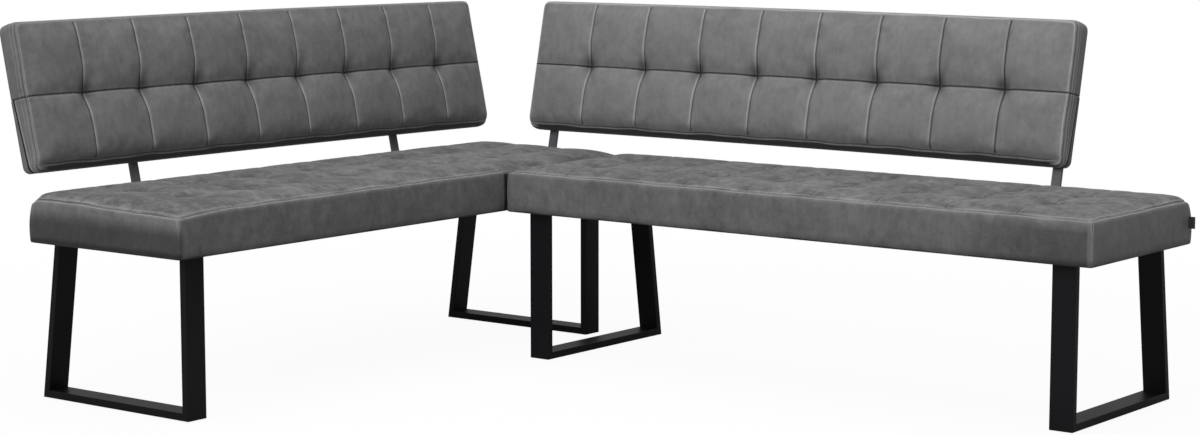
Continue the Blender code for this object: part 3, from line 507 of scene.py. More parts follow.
def board_outline():
    """A backrest board's outline with a gap all round, about the backrest's middle."""
    margin = BACK_BOARD_MARGIN - GAP
    return rounded_outline(BACKREST_LENGTH / 2 - margin, BACKREST_HEIGHT / 2 - margin, (BACK_BOARD_CORNER + GAP,) * 4)


def opening_outline():
    """The opening behind the board's lower half, a little within the board's edge."""
    inset, radius = BACK_BOARD_MARGIN + OPENING_MARGIN, BACK_BOARD_CORNER - OPENING_MARGIN
    half = BACKREST_HEIGHT / 4
    outline = rounded_outline(BACKREST_LENGTH / 2 - inset, half - inset, (radius, 0, 0, radius))
    return [(x, y - half) for x, y in outline]


def section_matrix(name):
    """A section's axes: X along its seat, Y from the seat's back edge to its front, Z up from the floor."""
    low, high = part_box(name + "_seat_cushion")
    if name == "corner":
        place, turn = (low.x + SEAT_BULGE, high.y - SEAT_BULGE, 0), -math.pi / 2
    else:
        place, turn = (high.x - SEAT_BULGE, high.y - SEAT_BULGE, 0), math.pi
    return Matrix.Translation(place) @ Matrix.Rotation(turn, 4, "Z")


def seat_size(name):
    """A seat's length, depth and underside."""
    low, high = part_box(name + "_seat_cushion")
    sides = (high.y - low.y, high.x - low.x) if name == "corner" else (high.x - low.x, high.y - low.y)
    return sides[0] - 2 * SEAT_BULGE, sides[1] - 2 * SEAT_BULGE, low.z


def board_matrix(name):
    """A backrest's axes: X against its section's, Y up its face, Z out of its face, 0 at its rear middle."""
    section = section_matrix(name)
    low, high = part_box(name + "_backrest_rear_cover")
    middle = section.inverted() @ ((low + high) / 2)
    sine, cosine = math.sin(BACKREST_LEAN), math.cos(BACKREST_LEAN)
    turn = Matrix(((-1, 0, 0), (0, -sine, cosine), (0, cosine, sine))).transposed().to_4x4()
    foot = Vector((middle.x, BACKREST_OVERHANG, seat_size(name)[2] + BACKREST_RISE))
    return section @ Matrix.Translation(foot) @ turn @ Matrix.Translation((0, BACKREST_HEIGHT / 2, -BACKREST_THICKNESS))


def lifted(name):
    """A shear that lifts a backrest's cover over its CAD solid: y + middle + slope x."""
    first, last = BACK_LIFT[name]
    shear = Matrix.Identity(4)
    shear[1][0] = (last - first) / BACKREST_LENGTH
    shear[1][3] = (first + last) / 2
    return shear


def strayed(name, x, y):
    """A backrest's x and y with its edges bowed up by a cosine and its ends drawn out."""
    first, last = BACK_REACH[name]
    y = y + BACK_BOW * np.cos(math.pi * x / BACKREST_LENGTH) * abs(y) / (BACKREST_HEIGHT / 2)
    return x - first * smooth_step((-x - 0.68) / 0.12) + last * smooth_step((x - 0.68) / 0.12), y


def seam_places(width, count):
    return [width * (k - count / 2) for k in range(1, count)]


def finish_piece(obj, material, slot, *nodes):
    """Gives a piece its finish, puts it on the bench's body and hides the CAD nodes that it stands for."""
    obj.data.materials.clear()
    obj.data.materials.append(material)
    obj.data.shade_smooth()
    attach(obj, "root")
    if nodes:
        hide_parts(*nodes)


def seat_pad(name, looks):
    """A seat cushion in its section's axes: the slab, raised by a crown and pressed in along its quilting.

    Height = thickness + (1 - |u|^p)(1 - |v|^q)(crown + fade (a dome on each panel - a bell along each seam - a wider
    bell round each crossing)). Here p grows from 40 to 120 towards the back, q is 18 behind the middle and 12 before
    it, and fade calms the front and the rear edge. The corner seat's open end sags towards the front, and each rear
    outer corner falls and draws in.
    """
    length, depth, underside = seat_size(name)
    row = depth / 3
    seams = (seam_places(COLUMN_WIDTH, COLUMNS), seam_places(row, 3))
    pad = Slab((length, depth, SEAT_THICKNESS), SEAT_CORNER, SEAT_RADII, SEAT_BULGE, seams, SEAT_SEAM)
    face = slice(0, pad.face_count)
    u, v = pad.u[face], pad.v[face]
    half_u, half_v = pad.half
    to_u, to_v = to_nearest(u, seams[0]), to_nearest(v, seams[1])
    power_u = 40 + 80 * smooth_step(-1.2 * v / half_v)
    swell = (1 - abs(u / half_u) ** power_u) * (1 - abs(v / half_v) ** np.where(v < 0, 18, 12))
    dome = 0.0050 * abs(np.cos(np.pi * u / COLUMN_WIDTH) * np.cos(np.pi * v / row))
    crease_v = (0.0016 + 0.0050 * bell(to_u, 0.055)) * bell(to_v, 0.0060)
    crease_u = (0.0010 + 0.0040 * bell(to_v, 0.050)) * bell(to_u, 0.0060)
    tuft = looks.tuft_depth * bell(to_u, 0.040) * bell(to_v, 0.027)
    fade = 1 - 0.45 * smooth_step(v / half_v + 0.1)
    fade *= 0.18 + 0.82 * smooth_step((v / half_v + 0.80) / 0.45)
    towards_joint = smooth_step((u if name == "side" else -u) / half_u * 2.5 - 1.5)
    crown = looks.seat_crown + SEAT_CROWN[name] - 0.002 * towards_joint
    pad.points[face, 2] += swell * (crown + (dome - np.maximum(crease_u, crease_v) - tuft) * fade)
    if name == "side":
        at_joint = smooth_step(1 - (half_u - pad.u) / 0.030) * np.clip(pad.points[:, 2] / 0.02, 0, 1)
        pad.points[:, 0] -= looks.joint_gap * at_joint
    end = 1 if name == "corner" else -1
    from_end = half_u - end * pad.u
    high = np.clip(pad.points[:, 2] / SEAT_THICKNESS, 0, 1) ** 2
    if name == "corner":
        near_front = smooth_step(1 - from_end / 0.16) * smooth_step(1 - (half_v - pad.v) / 0.40)
        pad.points[:, 2] -= looks.end_sag * near_front * high * np.exp(-np.maximum(pad.d, 0) / 0.05)
    droop = smooth_step(1 - from_end / 0.026) * smooth_step(1 - (pad.v + half_v) / 0.026)
    for axis, share in enumerate((-0.40 * end, 0.40, -1)):
        pad.points[:, axis] += share * looks.corner_droop * droop * high
    pocket = SEAT_BOARD_MARGIN - GAP
    for inset, level in ((0.0075, 0), (pocket, 0), (pocket, 0.5), (pocket, 1), (0.016, 1)):
        pad.add_ring(inset, level * SEAT_POCKET)
    pad.close(0.016, SEAT_POCKET)
    matrix = section_matrix(name) @ Matrix.Translation((length / 2, depth / 2, underside))
    weights = np.ones(len(pad.data))
    weights[face] = np.maximum(0.12 + 0.75 * bell(pad.d[face], 0.012), bell(np.hypot(to_u, to_v), 0.014))
    return pad.mesh_object(name + "_seat_pad", matrix), weights, pad, matrix


def backrest_pad(name, looks):
    """A backrest cushion in its own axes, its face pulled in along the middle and where the seams cross.

    Height = thickness + (1 - |u|^14)(1 - |v|^6)(crown + a dome on each panel - a bell along the middle seam - a
    narrow bell along each upright seam - a wide bell, longer up and down, round each crossing). The lower edge is a
    seventh thinner.
    """
    seams = (seam_places(COLUMN_WIDTH, COLUMNS), [0.0])
    size = (BACKREST_LENGTH, BACKREST_HEIGHT, BACKREST_THICKNESS)
    pad = Slab(size, BACK_CORNER, BACK_RADII, BACKREST_BULGE, seams, BACK_SEAM)
    face = slice(0, pad.face_count)
    u, v = pad.u[face], pad.v[face]
    half_u, half_v = pad.half
    to_u, to_v = to_nearest(u, seams[0]), to_nearest(v, seams[1])
    swell = (1 - abs(u / half_u) ** 14) * (1 - abs(v / half_v) ** 6)
    across_u = abs(np.cos(np.pi * u / COLUMN_WIDTH)) ** 0.8
    across_v = abs(np.sin(np.pi * v / half_v)) ** 0.7
    dome = 0.005 * across_u * np.maximum(across_v, 0.25)
    sunk = 0.0045 * bell(to_v, 0.013) + 0.0018 * bell(to_u, 0.006)
    tuft = looks.back_tuft_depth * bell(to_u, 0.027) * bell(to_v, 0.042)
    pad.points[face, 2] += swell * (BACK_CROWN + dome - sunk - tuft)
    pad.points[:, 2] *= 1 - 0.14 * (1 - smooth_step((pad.v + half_v) / 0.020))
    pad.close(0.006, 0.0)
    pad.points[:, 0], pad.points[:, 1] = strayed(name, pad.points[:, 0], pad.points[:, 1])
    matrix = board_matrix(name) @ lifted(name)
    holds = (0.06 + 0.8 * bell(pad.d[face], 0.010), 0.5 * bell(to_u, 0.005), 0.9 * bell(to_v, 0.005))
    weights = np.ones(len(pad.data))
    weights[face] = np.max([*holds, bell(np.hypot(to_u, to_v), 0.012)], axis=0)
    return pad.mesh_object(name + "_backrest_pad", matrix), weights, pad, matrix


def open_backrest(obj, board, matrix):
    """Cuts the board's pocket, the opening behind its lower half and the rear cover's wedge out of a cushion."""
    beyond = BACKREST_THICKNESS
    low = -BACKREST_HEIGHT / 2 - beyond
    wedge = [(low, -beyond), (0, -beyond), (0, COVER_TOP + COVER_GAP)]
    wedge.append((low, COVER_BOTTOM + COVER_GAP + COVER_SLOPE * beyond))
    reach = BACKREST_LENGTH / 2 + beyond
    cutters = [prism(board_outline(), BAR_FRONT, BAR_FRONT + BACK_BOARD_THICKNESS + 2 * GAP, 2, board)]
    cutters.append(prism(opening_outline(), -beyond, BAR_FRONT + GAP, 2, board))
    cutters.append(prism(wedge, -reach, reach, 0, matrix))
    cut_away(obj, cutters)


# The rear cover's rings: how far each is drawn in, and its share of the local depth
COVER_RINGS = ((0.030, 1.0), (0.006, 1.0), (0.0052, 0.94), (0.004, 0.89), (0.001, 0.85), (0.0, 0.78))
COVER_RINGS += ((0.0006, 0.20), (0.002, 0.10), (0.0045, 0.03), (0.009, 0.0), (0.020, -0.03), (0.040, -0.05))


def rear_cover(name, matrix):
    """The wedge-shaped cover of a backrest's lower back, in the cushion's axes.

    Its outline is a rounded rectangle, carried through levels that are shares of the local depth, which falls in a
    straight line from the bottom to the top. Its ends and long sides are divided into 10 and 90 parts.
    """
    half, tall = BACKREST_LENGTH / 2, BACKREST_HEIGHT / 2 - GAP
    steps = 6
    parts = np.ones(4 * (steps + 1), int)
    parts[steps :: steps + 1] = (10, 90, 10, 90)
    way = np.concatenate([np.arange(count) / count for count in parts])[:, None]
    loops = []
    for inset, share in COVER_RINGS:
        radius, small = max(BACK_CORNER - inset, 0.003), max(0.004 - inset, 0.0015)
        outline = np.array(rounded_outline(half - inset, tall / 2 - inset, (radius, small, small, radius), steps))
        ahead = np.roll(outline, -1, axis=0) - outline
        x, y = (np.repeat(outline, parts, axis=0) + np.repeat(ahead, parts, axis=0) * way).T
        depth = COVER_BOTTOM - COVER_SLOPE * (y + tall / 2)
        x, y = strayed(name, x, y + (tall - BACKREST_HEIGHT) / 2)
        loops.append(np.stack([x, y, share * depth], axis=-1))
    rings = np.arange(len(loops) * len(way)).reshape(len(loops), -1)
    faces = [rings[0], *np.concatenate([band(low, high) for low, high in zip(rings, rings[1:])]), rings[-1]]
    shares = np.repeat([share for _, share in COVER_RINGS], len(way))
    return new_object(name + "_backrest_rear_panel", np.vstack(loops), faces, matrix, share=shares)


def hollow_rear_cover(obj, name, board):
    """Cuts the tray, the board's recess and the uprights' notches out of a rear cover."""
    cutters = [prism(opening_outline(), COVER_WALL, BACKREST_THICKNESS, 2, board)]
    cutters.append(prism(board_outline(), BAR_FRONT, BACKREST_THICKNESS, 2, board))
    side, bottom = BAR_WIDTH / 2 + GAP, -BACKREST_HEIGHT
    top = BACK_BOARD_MARGIN + BACK_BOARD_CORNER - BACKREST_HEIGHT / 2
    for end in ("inner", "outer"):
        low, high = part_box(f"{name}_upright_{end}")
        x = (board.inverted() @ ((low + high) / 2)).x
        notch = [(x - side, bottom), (x + side, bottom), (x + side, top), (x - side, top)]
        cutters.append(prism(notch, BAR_REAR - GAP, BACKREST_THICKNESS, 2, board))
    cut_away(obj, cutters)


# A stitch's squares: their place along it, and their width and height in threads
STITCH = ((0.0, 0.25, -0.6), (0.2, 1.0, 0.35), (0.8, 1.0, 0.35), (1.0, 0.25, -0.6))


def stitch_rows(name, rows, surface, pitch, thread):
    """Rows of stitches as one mesh: each stitch is a bead of four sides that dips into the cover at both ends.

    A row is points along a line. Stitches lie at even ways along it, and each is a loft of four squares between
    its ends, thin at the ends and full in the middle, moved onto the nearest point of the surface.
    """
    tree = BVHTree.FromObject(surface, bpy.context.evaluated_depsgraph_get())
    starts, ends = [], []
    for row in rows:
        ways = np.concatenate([[0], np.cumsum(np.linalg.norm(np.diff(row, axis=0), axis=1))])
        count = max(2, int(ways[-1] / pitch))
        for which, shift in ((starts, 0.12), (ends, 0.88)):
            places = (np.arange(count) + shift) * (ways[-1] / count)
            which.append(np.stack([np.interp(places, ways, line) for line in row.T], axis=-1))
    starts, ends = np.vstack(starts), np.vstack(ends)
    way = (ends - starts) / np.linalg.norm(ends - starts, axis=1, keepdims=True)
    rings = []
    for place, wide, up in STITCH:
        hits = [tree.find_nearest(Vector(p))[:2] for p in starts + (ends - starts) * place]
        centre, normal = np.array(hits).transpose(1, 0, 2)
        side = np.cross(way, normal)
        side /= np.linalg.norm(side, axis=1, keepdims=True)
        centre = centre + normal * (up * thread)
        reach = 0.5 * thread * wide
        rings.append(np.stack([centre + reach * out for out in (side, normal, -side, -normal)], axis=1))
    points = np.stack(rings, axis=1).reshape(-1, 3)
    corners = np.arange(4 * len(STITCH)).reshape(-1, 4)
    pattern = [band(low, high) for low, high in zip(corners, corners[1:])]
    pattern = np.concatenate([*pattern, corners[:1, ::-1], corners[-1:]])
    quads = pattern[None] + corners.size * np.arange(len(starts))[:, None, None]
    return new_object(name, points, quads.reshape(-1, 4))


def ring_row(pad, matrix, target, keep):
    """A line along the kept part of a slab's edge where the distance from the turn, with its wander, is the target."""
    u, v = pad.u[pad.edge], pad.v[pad.edge]
    count = len(u)
    distance = target - wander(u, v)
    inside_u = np.sign(u) * np.minimum(abs(u), pad.half[0] - np.maximum(distance, 0))
    inside_v = np.sign(v) * np.minimum(abs(v), pad.half[1] - np.maximum(distance, 0))
    x, y = pad.placed(inside_u, inside_v, pad.zone)
    points = np.stack([x, y, np.full_like(x, pad.size[2])], axis=-1)
    levels = np.unique(np.round(pad.d[(pad.d < 0) & (pad.d > -0.9)], 5))[::-1]
    rings = pad.points[pad.face_count : pad.face_count + len(levels) * count].reshape(-1, count, 3)
    rows = np.concatenate([pad.points[pad.edge][None], rings])
    at = np.interp(-distance, np.concatenate([[0.0], -levels]), np.arange(len(rows)))
    low = np.minimum(at.astype(int), len(rows) - 2)
    part = (at - low)[:, None]
    here = np.arange(count)
    down = rows[low, here] * (1 - part) + rows[low + 1, here] * part
    points = np.where((distance < 0)[:, None], down, points)
    turned = np.roll(here, -np.flatnonzero(~keep)[0])
    points = points[turned][keep[turned]]
    world = np.array(matrix)
    return points @ world[:3, :3].T + world[:3, 3]


def upright_seams(u, on_face, lean, fold, ridge):
    """The upright seams' distance, their reach, their fold painted dark as shade and their ridge painted light as
    highlight, each at a place and width.
    """
    to_u = u.to_nearest(COLUMN_WIDTH)
    inside = abs(u).below(COLUMN_WIDTH * (COLUMNS / 2 - 0.5)) * on_face
    folds = (to_u - fold[0] * lean).bell(fold[1]) * inside
    return to_u, inside, folds, (to_u + ridge[0] * lean).bell(ridge[1]) * inside


def stitch_light(turn, looks, width):
    """The two bells over the stitch rows, one on each side of a seam."""
    return (turn - looks.stitch_offset).bell(width) + (turn + looks.stitch_offset).bell(width)


def seat_marks(sh, u, v, d, looks, lean):
    """Where a seat's cover is folded, lit, worn and in shadow.

    The sides are painted darker downwards as shade, and the side seat's end face and the top of the corner seat's end
    face carry painted light. A seam pair runs down each corner, apart at its top, with painted highlight on its edges
    and painted shade between them. The side seat's joint end and the part of the corner seat's front that it covers
    carry no stitches and are painted black as shade, and so is the underside.
    """
    half_u, half_v = seat_size("side" if lean > 0 else "corner")[0] / 2, SEAT_DEPTH / 2
    on_side, on_face = d.below(-0.002), d.above(0.004)
    to_u, inside, fold_u, ridge_u = upright_seams(u, on_face, lean, (0.0019, 0.0017), (0.0016, 0.0024))
    to_v = v.to_nearest(seat_size("side")[1] / 3)
    near_row = (to_v.bell(0.045) * 0.8 + 0.2) * 0.55
    fold_v = (to_v - (to_u * to_u) * 6.0).bell(0.0026) * on_face * (to_u.bell(0.030) * 0.88 + 0.12)
    outwards = u * (-1.0 * lean)
    end_face = outwards.ramp(half_u - 0.015, 0.006) * on_side
    down = d.ramp(-0.012, -0.092)
    # Painted light and shade by the ends: the side seat's end face lighter and its front near that end darker
    # downwards; the corner seat's end face lighter near its top and darker downwards; the joint painted black as shade
    if lean > 0:
        shift = end_face * (0.34 - down * 0.16)
        near_end = outwards.ramp(half_u - 0.38, 0.28) * (1.0 - end_face) * on_side
        shadow = near_end * down.ramp(0.05, 0.16) * 0.52
        free = u.ramp(half_u - 0.014, -0.010)
        gap = u.ramp(half_u - 0.0050, 0.0005) * d.below(-0.006)
    else:
        shift = end_face * down.ramp(0.34, -0.20) * 0.16
        shadow = end_face * down.ramp(0.10, 0.36) * 0.70
        free = u.ramp(SEAT_DEPTH - 0.004 - half_u, 0.003).most(v.below(half_v - 0.030))
        gap = (1.0 - free) * d.below(-0.012) * v.above(half_v - 0.012)
    turn = d - SEAT_SEAM
    # The corner's seam pair: its edges painted light as highlight (piping), the groove between them painted dark as
    # shade
    corner_way = sh.value("corner_way")
    apart = d.ramp(-0.040, 0.022)
    within = d.above(-0.092) * d.below(-0.004)
    piping = (abs(corner_way) - apart * 0.0024).bell(0.0012) * (apart * 0.45 + 0.55) * within
    between = corner_way.bell(0.0012) * apart * within
    # Painted shade round each tuft, where the cover is drawn in
    tuft = to_u.bell(0.034) * (to_v + 0.010).bell(0.016) * inside * 1.1
    creases = sh.noise(9.0, 3.0, distortion=1.5, kind="RIDGED_MULTIFRACTAL") * (on_face * 0.0022)
    ridge_u = ridge_u * near_row
    # Folds, seams, tufts, lower sides and the bottom band are painted dark as shade; ridges and piping light as
    # highlight; stitch rows light in the thread's colour; joint and underside black as shade
    return SimpleNamespace(
        contrast=2.3 - on_side * 1.3,
        shift=shift,
        fold_u=fold_u * near_row,
        fold_v=fold_v * 0.95,
        ridge_u=ridge_u,
        seam=turn.bell(0.0014) * free,
        worn=turn.bell(0.010) * free,
        wear=0.40,
        light=ridge_u + stitch_light(turn, looks, 0.0011) * free * 0.32 + piping * 0.9,
        dark=tuft * 0.62 + shadow + down.ramp(0.84, 0.14) * on_side * 0.38 + between * 0.6,
        gap=(gap + d.ramp(-SEAT_THICKNESS - 0.0002, -0.002) * 0.8).clamp(),
        relief=sh.noise(11.0, 3.0, 0.5, distortion=1.2) * 0.004 - creases,
    )


def backrest_marks(sh, u, v, d, looks, lean, matrix):
    """Where a backrest's cover is folded, lit, worn and dark.

    The cushion's own axes come from Object coordinates through its inverse matrix, so that the piping's painted
    highlight and the painted black of the shade in the gap above the rear cover follow that cover's straight edge. Its
    lower edge, where it turns under, is painted dark as shade.
    """
    half_u, half_v = BACKREST_LENGTH / 2, BACKREST_HEIGHT / 2
    low = v.ramp(0.045 - half_v, -0.012) * abs(u).ramp(half_u - 0.012, -0.025)
    on_face = (d - low * 0.009).above(-0.001)
    to_u, inside, fold_u, ridge_u = upright_seams(u, on_face, lean, (0.0024, 0.0025), (0.0024, 0.0030))
    # Towards the side backrest's outer end the folds' painted shade grows and the ridges' painted highlight fades
    if lean > 0:
        outer = u.ramp(0.20, 0.35)
        fold_u, ridge_u = fold_u * (outer * 0.24 + 0.88), ridge_u * (1.0 - outer * 0.60)
    where = sh.axes(sh.place())
    x, y, z = (sum(axis * turn for axis, turn in zip(where, row)) + row[3] for row in list(matrix.inverted())[:3])
    to_cover = z + (y + half_v) * COVER_SLOPE - COVER_BOTTOM
    at_rim = abs(x).above(half_u - 0.012).most(y.below(0.012 - half_v)) * y.below(0.0) * d.below(-0.012)
    on_front = d.above(-0.062)
    turn = d - BACK_SEAM
    stitch_width, stitch_share = (0.0019, 1.6) if lean > 0 else (0.0011, 0.45)
    # Painted highlights: the ridges, the lip under the middle seam, the stitch rows (light in the thread's colour, on
    # the side backrest wider and stronger as painted highlight) and a thin line in the lower edge's band, where the
    # others are weakened as in shade
    light = ridge_u + (v + 0.0045).bell(0.0022) * on_front * 0.25
    light = light + stitch_light(turn, looks, stitch_width) * stitch_share
    light = light * (1.0 - low * 0.7) + low * (d - 0.0024).bell(0.0010) * 0.22
    # Painted shade where the lower edge turns under: dark lines and a dark band
    under = (d - 0.0048).bell(0.0013) * 0.70 + d.ramp(0.0010, -0.0014) + (d - 0.008).bell(0.011) * 0.14
    under = under - (d + 0.0085).bell(0.0010) * 0.10
    # Painted shade round each crossing of the seams
    tuft = to_u.bell(0.021) * (v - 0.008).bell(0.022) * inside * 1.25
    # The middle seam's fold and the turn's seam are painted dark as shade
    return SimpleNamespace(
        contrast=1.0,
        shift=0.0,
        fold_u=fold_u,
        fold_v=v.bell(0.0019) * on_front,
        ridge_u=ridge_u,
        seam=turn.bell(0.0020),
        worn=turn.bell(0.010),
        wear=0.40 if lean > 0 else 0.16,
        # Painted highlight on the piping above the rear cover, and the gap below it painted black as shade
        light=light + (to_cover - (COVER_GAP + 0.0034)).bell(0.0020) * at_rim * 0.9,
        dark=tuft * 0.62 + low * under,
        gap=to_cover.ramp(COVER_GAP + 0.0010, -0.0006) * at_rim,
        relief=sh.noise(11.0, 3.0, 0.5, distortion=1.2) * 0.0012,
    )


def leather(sh, colour, roughness, height):
    """Gives a faux leather its colour, roughness and relief, with a fine grain over them."""
    grain = sh.bump(sh.noise(900.0, 2.0, 0.5), 0.00012, 0.6)
    sh.set(Base_Color=colour, Roughness=roughness, Normal=sh.bump(height, 1.0, 1.0, grain))
    sh.set(Specular_IOR_Level=0.35, Sheen_Weight=0.12, Sheen_Roughness=0.5)
    return sh.material


def cover_material(name, looks, part, lean, shade, matrix):
    """Brushed faux leather: mottled grey, worn light along its edges and seams, with a fine grain.

    The quilt attribute gives u, v and the distance from the turn in metres, from which the seams' folds and ridges
    are painted dark as shade and light as highlight, as bells of the distance to the nearest seam line. Lean is the
    side on which a ridge, with its painted highlight, lies beside its fold. Painted highlight, shade and black for the
    shade in gaps go over the mottled tone.
    """
    sh = Shader(name)
    shared = (sh, *sh.attribute("quilt"), looks, lean)
    marks = backrest_marks(*shared, matrix) if part == "backrest" else seat_marks(*shared)
    cloud = sh.noise(26.0, 5.0, 0.62)
    tone = sh.noise(7.0, 3.0, 0.6) * 0.22 + cloud * 0.30 + sh.noise(55.0, 3.0, 0.6, (1, 1, 0.6), 0.4) * 0.20
    tone = tone + sh.noise(90.0, 4.0, 0.6, (1, 1, 0.3)) * 0.14 + sh.noise(150.0, 3.0, 0.7) * 0.14
    # Each cover's tone is raised or lowered as painted light and shade, and on the seats' end faces shifted as painted
    # light
    tone = ((tone - 0.5) * (marks.contrast * looks.mottle) + shade + marks.shift).clamp()
    dark = marks.fold_v * 0.95 + marks.fold_u * 0.85 + marks.seam * 0.65 + marks.dark
    colour = sh.mix(tone, looks.cover_dark, looks.cover_light)
    colour = sh.mix((marks.worn * (cloud * 1.2)).clamp() * marks.wear, colour, looks.cover_worn_and_highlight)
    # Painted highlights: ridges, piping, lips and stitch rows, in the worn tone
    colour = sh.mix(marks.light.clamp() * (cloud * 0.5 + 0.45), colour, looks.cover_worn_and_highlight)
    # Painted shade: folds, seams, tufts, lower sides and bands
    colour = sh.mix(dark.clamp(), colour, tuple(0.18 * c for c in looks.cover_dark))
    # Gaps and undersides painted black as shade
    colour = sh.mix(marks.gap, colour, PAINTED_SHADE_BLACK)
    height = marks.ridge_u * 0.0016 - marks.fold_u * 0.0020 - marks.fold_v * 0.0024 - marks.seam * 0.0008
    height = height + marks.worn * 0.0006 + marks.relief + cloud * 0.0008
    return leather(sh, colour, (cloud * 0.16 + 0.56 - marks.worn * 0.05).clamp(), height)


def panel_material(name, looks):
    """The same cover without quilting, for the rear panels, dark round the rim that the cushion closes on."""
    sh = Shader(name)
    cloud = sh.noise(24.0, 5.0, 0.62)
    tone = sh.noise(7.0, 3.0, 0.6) * 0.35 + cloud * 0.40 + sh.noise(70.0, 4.0, 0.6, (1, 1, 0.35)) * 0.25
    colour = sh.mix(((tone - 0.5) * looks.mottle + 0.5).clamp(), looks.cover_dark, looks.cover_light)
    # The rim that the cushion closes on is painted black as shade
    colour = sh.mix(sh.value("share").ramp(0.80, 0.04), colour, PAINTED_SHADE_BLACK)
    return leather(sh, colour, cloud * 0.16 + 0.56, cloud * 0.0008)


def thread_material(looks):
    sh = Shader("waxed_thread")
    twist = sh.noise(1500.0, 1.0)
    sh.set(Base_Color=sh.mix(twist, looks.thread, tuple(1.25 * c for c in looks.thread)), Roughness=twist * 0.2 + 0.5)
    sh.set(Normal=sh.bump(twist, 0.0002, 0.5))
    return sh.material


def steel_material(looks):
    """Satin black powder coat: a faint orange peel and slightly uneven gloss."""
    sh = Shader("black_powder_coat")
    peel, cloud = sh.noise(420.0, 2.0, 0.5), sh.noise(6.0, 3.0)
    colour = sh.mix(cloud, looks.steel, tuple(1.5 * c for c in looks.steel))
    sh.set(Base_Color=colour, Roughness=cloud * 0.10 + 0.34 + peel * 0.05, Normal=sh.bump(peel, 0.0003, 0.35))
    sh.set(Specular_IOR_Level=0.22)
    return sh.material


def plain_material(name, dark, light, scale, roughness, metallic=0.0, bump=0.0002, stretch=(1, 1, 1)):
    """A finish whose colour, gloss and relief all follow one noise."""
    sh = Shader(name)
    speck = sh.noise(scale, 4.0, 0.6, stretch)
    sh.set(Base_Color=sh.mix(speck, dark, light), Roughness=speck * 0.12 + (roughness - 0.06), Metallic=metallic)
    sh.set(Normal=sh.bump(speck, bump, 0.5))
    return sh.material


# The other finishes: dark and light colour, the noise's scale, roughness, metallic, relief and stretch
PLAIN = {
    "glide_plastic": ((0.012, 0.012, 0.012), (0.02, 0.02, 0.02), 300.0, 0.5),
    "zinc_plate": ((0.42, 0.42, 0.43), (0.62, 0.62, 0.64), 200.0, 0.32, 1.0, 0.0001),
    "plywood": ((0.36, 0.24, 0.13), (0.56, 0.41, 0.25), 40.0, 0.7, 0.0, 0.0004, (1, 8, 8)),
    "felt_lining": ((0.010, 0.010, 0.011), (0.028, 0.028, 0.029), 900.0, 0.9, 0.0, 0.0005),
    "black_ribbon": ((0.008, 0.008, 0.010), (0.026, 0.026, 0.030), 1400.0, 0.55, 0.0, 0.0003),
    # The uprights' steel is painted lighter than the legs' black coat, as painted reflection of the studio light
    "flat_steel_painted_reflection": ((0.080, 0.081, 0.090), (0.125, 0.126, 0.140), 90.0, 0.38, 0.0, 0.0002),
}


def colour_property(name, words, default):
    return bpy.props.FloatVectorProperty(
        name=name, description=words, subtype="COLOR", size=3, min=0.0, max=1.0, default=default
    )


def number_property(name, words, default, unit="LENGTH"):
    return bpy.props.FloatProperty(name=name, description=words, default=default, unit=unit)


class BenchLooks(bpy.types.PropertyGroup):
    """Colours and soft sizes of the bench."""

    cover_dark: colour_property("Cover, dark", "Darkest tone of the brushed cover", (0.066, 0.067, 0.069))
    cover_light: colour_property("Cover, light", "Lightest tone of the brushed cover", (0.185, 0.186, 0.190))
    # Also the tone of the painted highlights along ridges, piping and stitch rows
    cover_worn_and_highlight: colour_property("Cover, worn", "Tone along worn edges and seams", (0.36, 0.36, 0.365))
    thread: colour_property("Thread", "Colour of the sewing thread", (0.34, 0.34, 0.345))
    steel: colour_property("Steel", "Colour of the powder coat", (0.0030, 0.0031, 0.0042))
    mottle: number_property("Mottle", "Contrast of the cover's clouds", 2.6, "NONE")
    tuft_depth: number_property("Seat tuft depth", "How far a seat's tufts are drawn in", 0.012)
    seat_crown: number_property("Seat crown", "How far a seat's top swells above its seam", 0.0120)
    back_tuft_depth: number_property("Backrest tuft depth", "How far a backrest's tufts are drawn in", 0.016)
    end_sag: number_property("End sag", "How far the corner seat's open front corner sags", 0.009)
    joint_gap: number_property("Joint gap", "How far the side seat's end is drawn in at the joint", 0.003)
    corner_droop: number_property("Corner droop", "How far a seat's rear outer corner falls", 0.010)
    stitch_offset: number_property("Stitch offset", "From a seam to each of its stitch rows", 0.0065)
    stitch_pitch: number_property("Stitch pitch", "Length of one stitch and its gap", 0.0062)
    thread_width: number_property("Thread width", "Thickness of the sewing thread", 0.0015)


class StudioLooks(bpy.types.PropertyGroup):
    """Floor, light and camera."""

    floor_colour: colour_property("Floor", "Colour of the floor as it lights the bench", (0.35, 0.35, 0.35))
    key_power: number_property("Key light", "Power of the large light in front of the side seat", 440.0, "POWER")
    top_power: number_property("Top light", "Power of the large light overhead", 65.0, "POWER")
    fill: number_property("Fill", "Strength of the even light all round", 0.42, "NONE")


SLABS = {}


class BENCH_OT_pads(bpy.types.Operator):
    """Make the two seat cushions and the two backrest cushions"""

    bl_idname = "bench.pads"
    bl_label = "Cushions"

    def execute(self, context):
        looks = context.scene.bench_looks
        made = {}
        for name in ("corner", "side"):
            made[name + "_seat"] = seat_pad(name, looks)
            made[name + "_backrest"] = backrest_pad(name, looks)
        simulate([(obj, weights) for obj, weights, _, _ in made.values()])
        for key, (obj, _, pad, matrix) in made.items():
            name, part = key.rsplit("_", 1)
            apply_modifier(obj, "smooth", "SUBSURF", levels=1, render_levels=1)
            if part == "backrest":
                open_backrest(obj, board_matrix(name), matrix)
            lean = 1 if name == "side" else -1
            cover = cover_material(f"brushed_{key}_cover", looks, part, lean, TONES_WITH_PAINTED_LIGHT[key], matrix)
            finish_piece(obj, cover, "cover", f"{name}_{part}_cushion")
            SLABS[key] = (obj, pad, matrix)
        return {"FINISHED"}


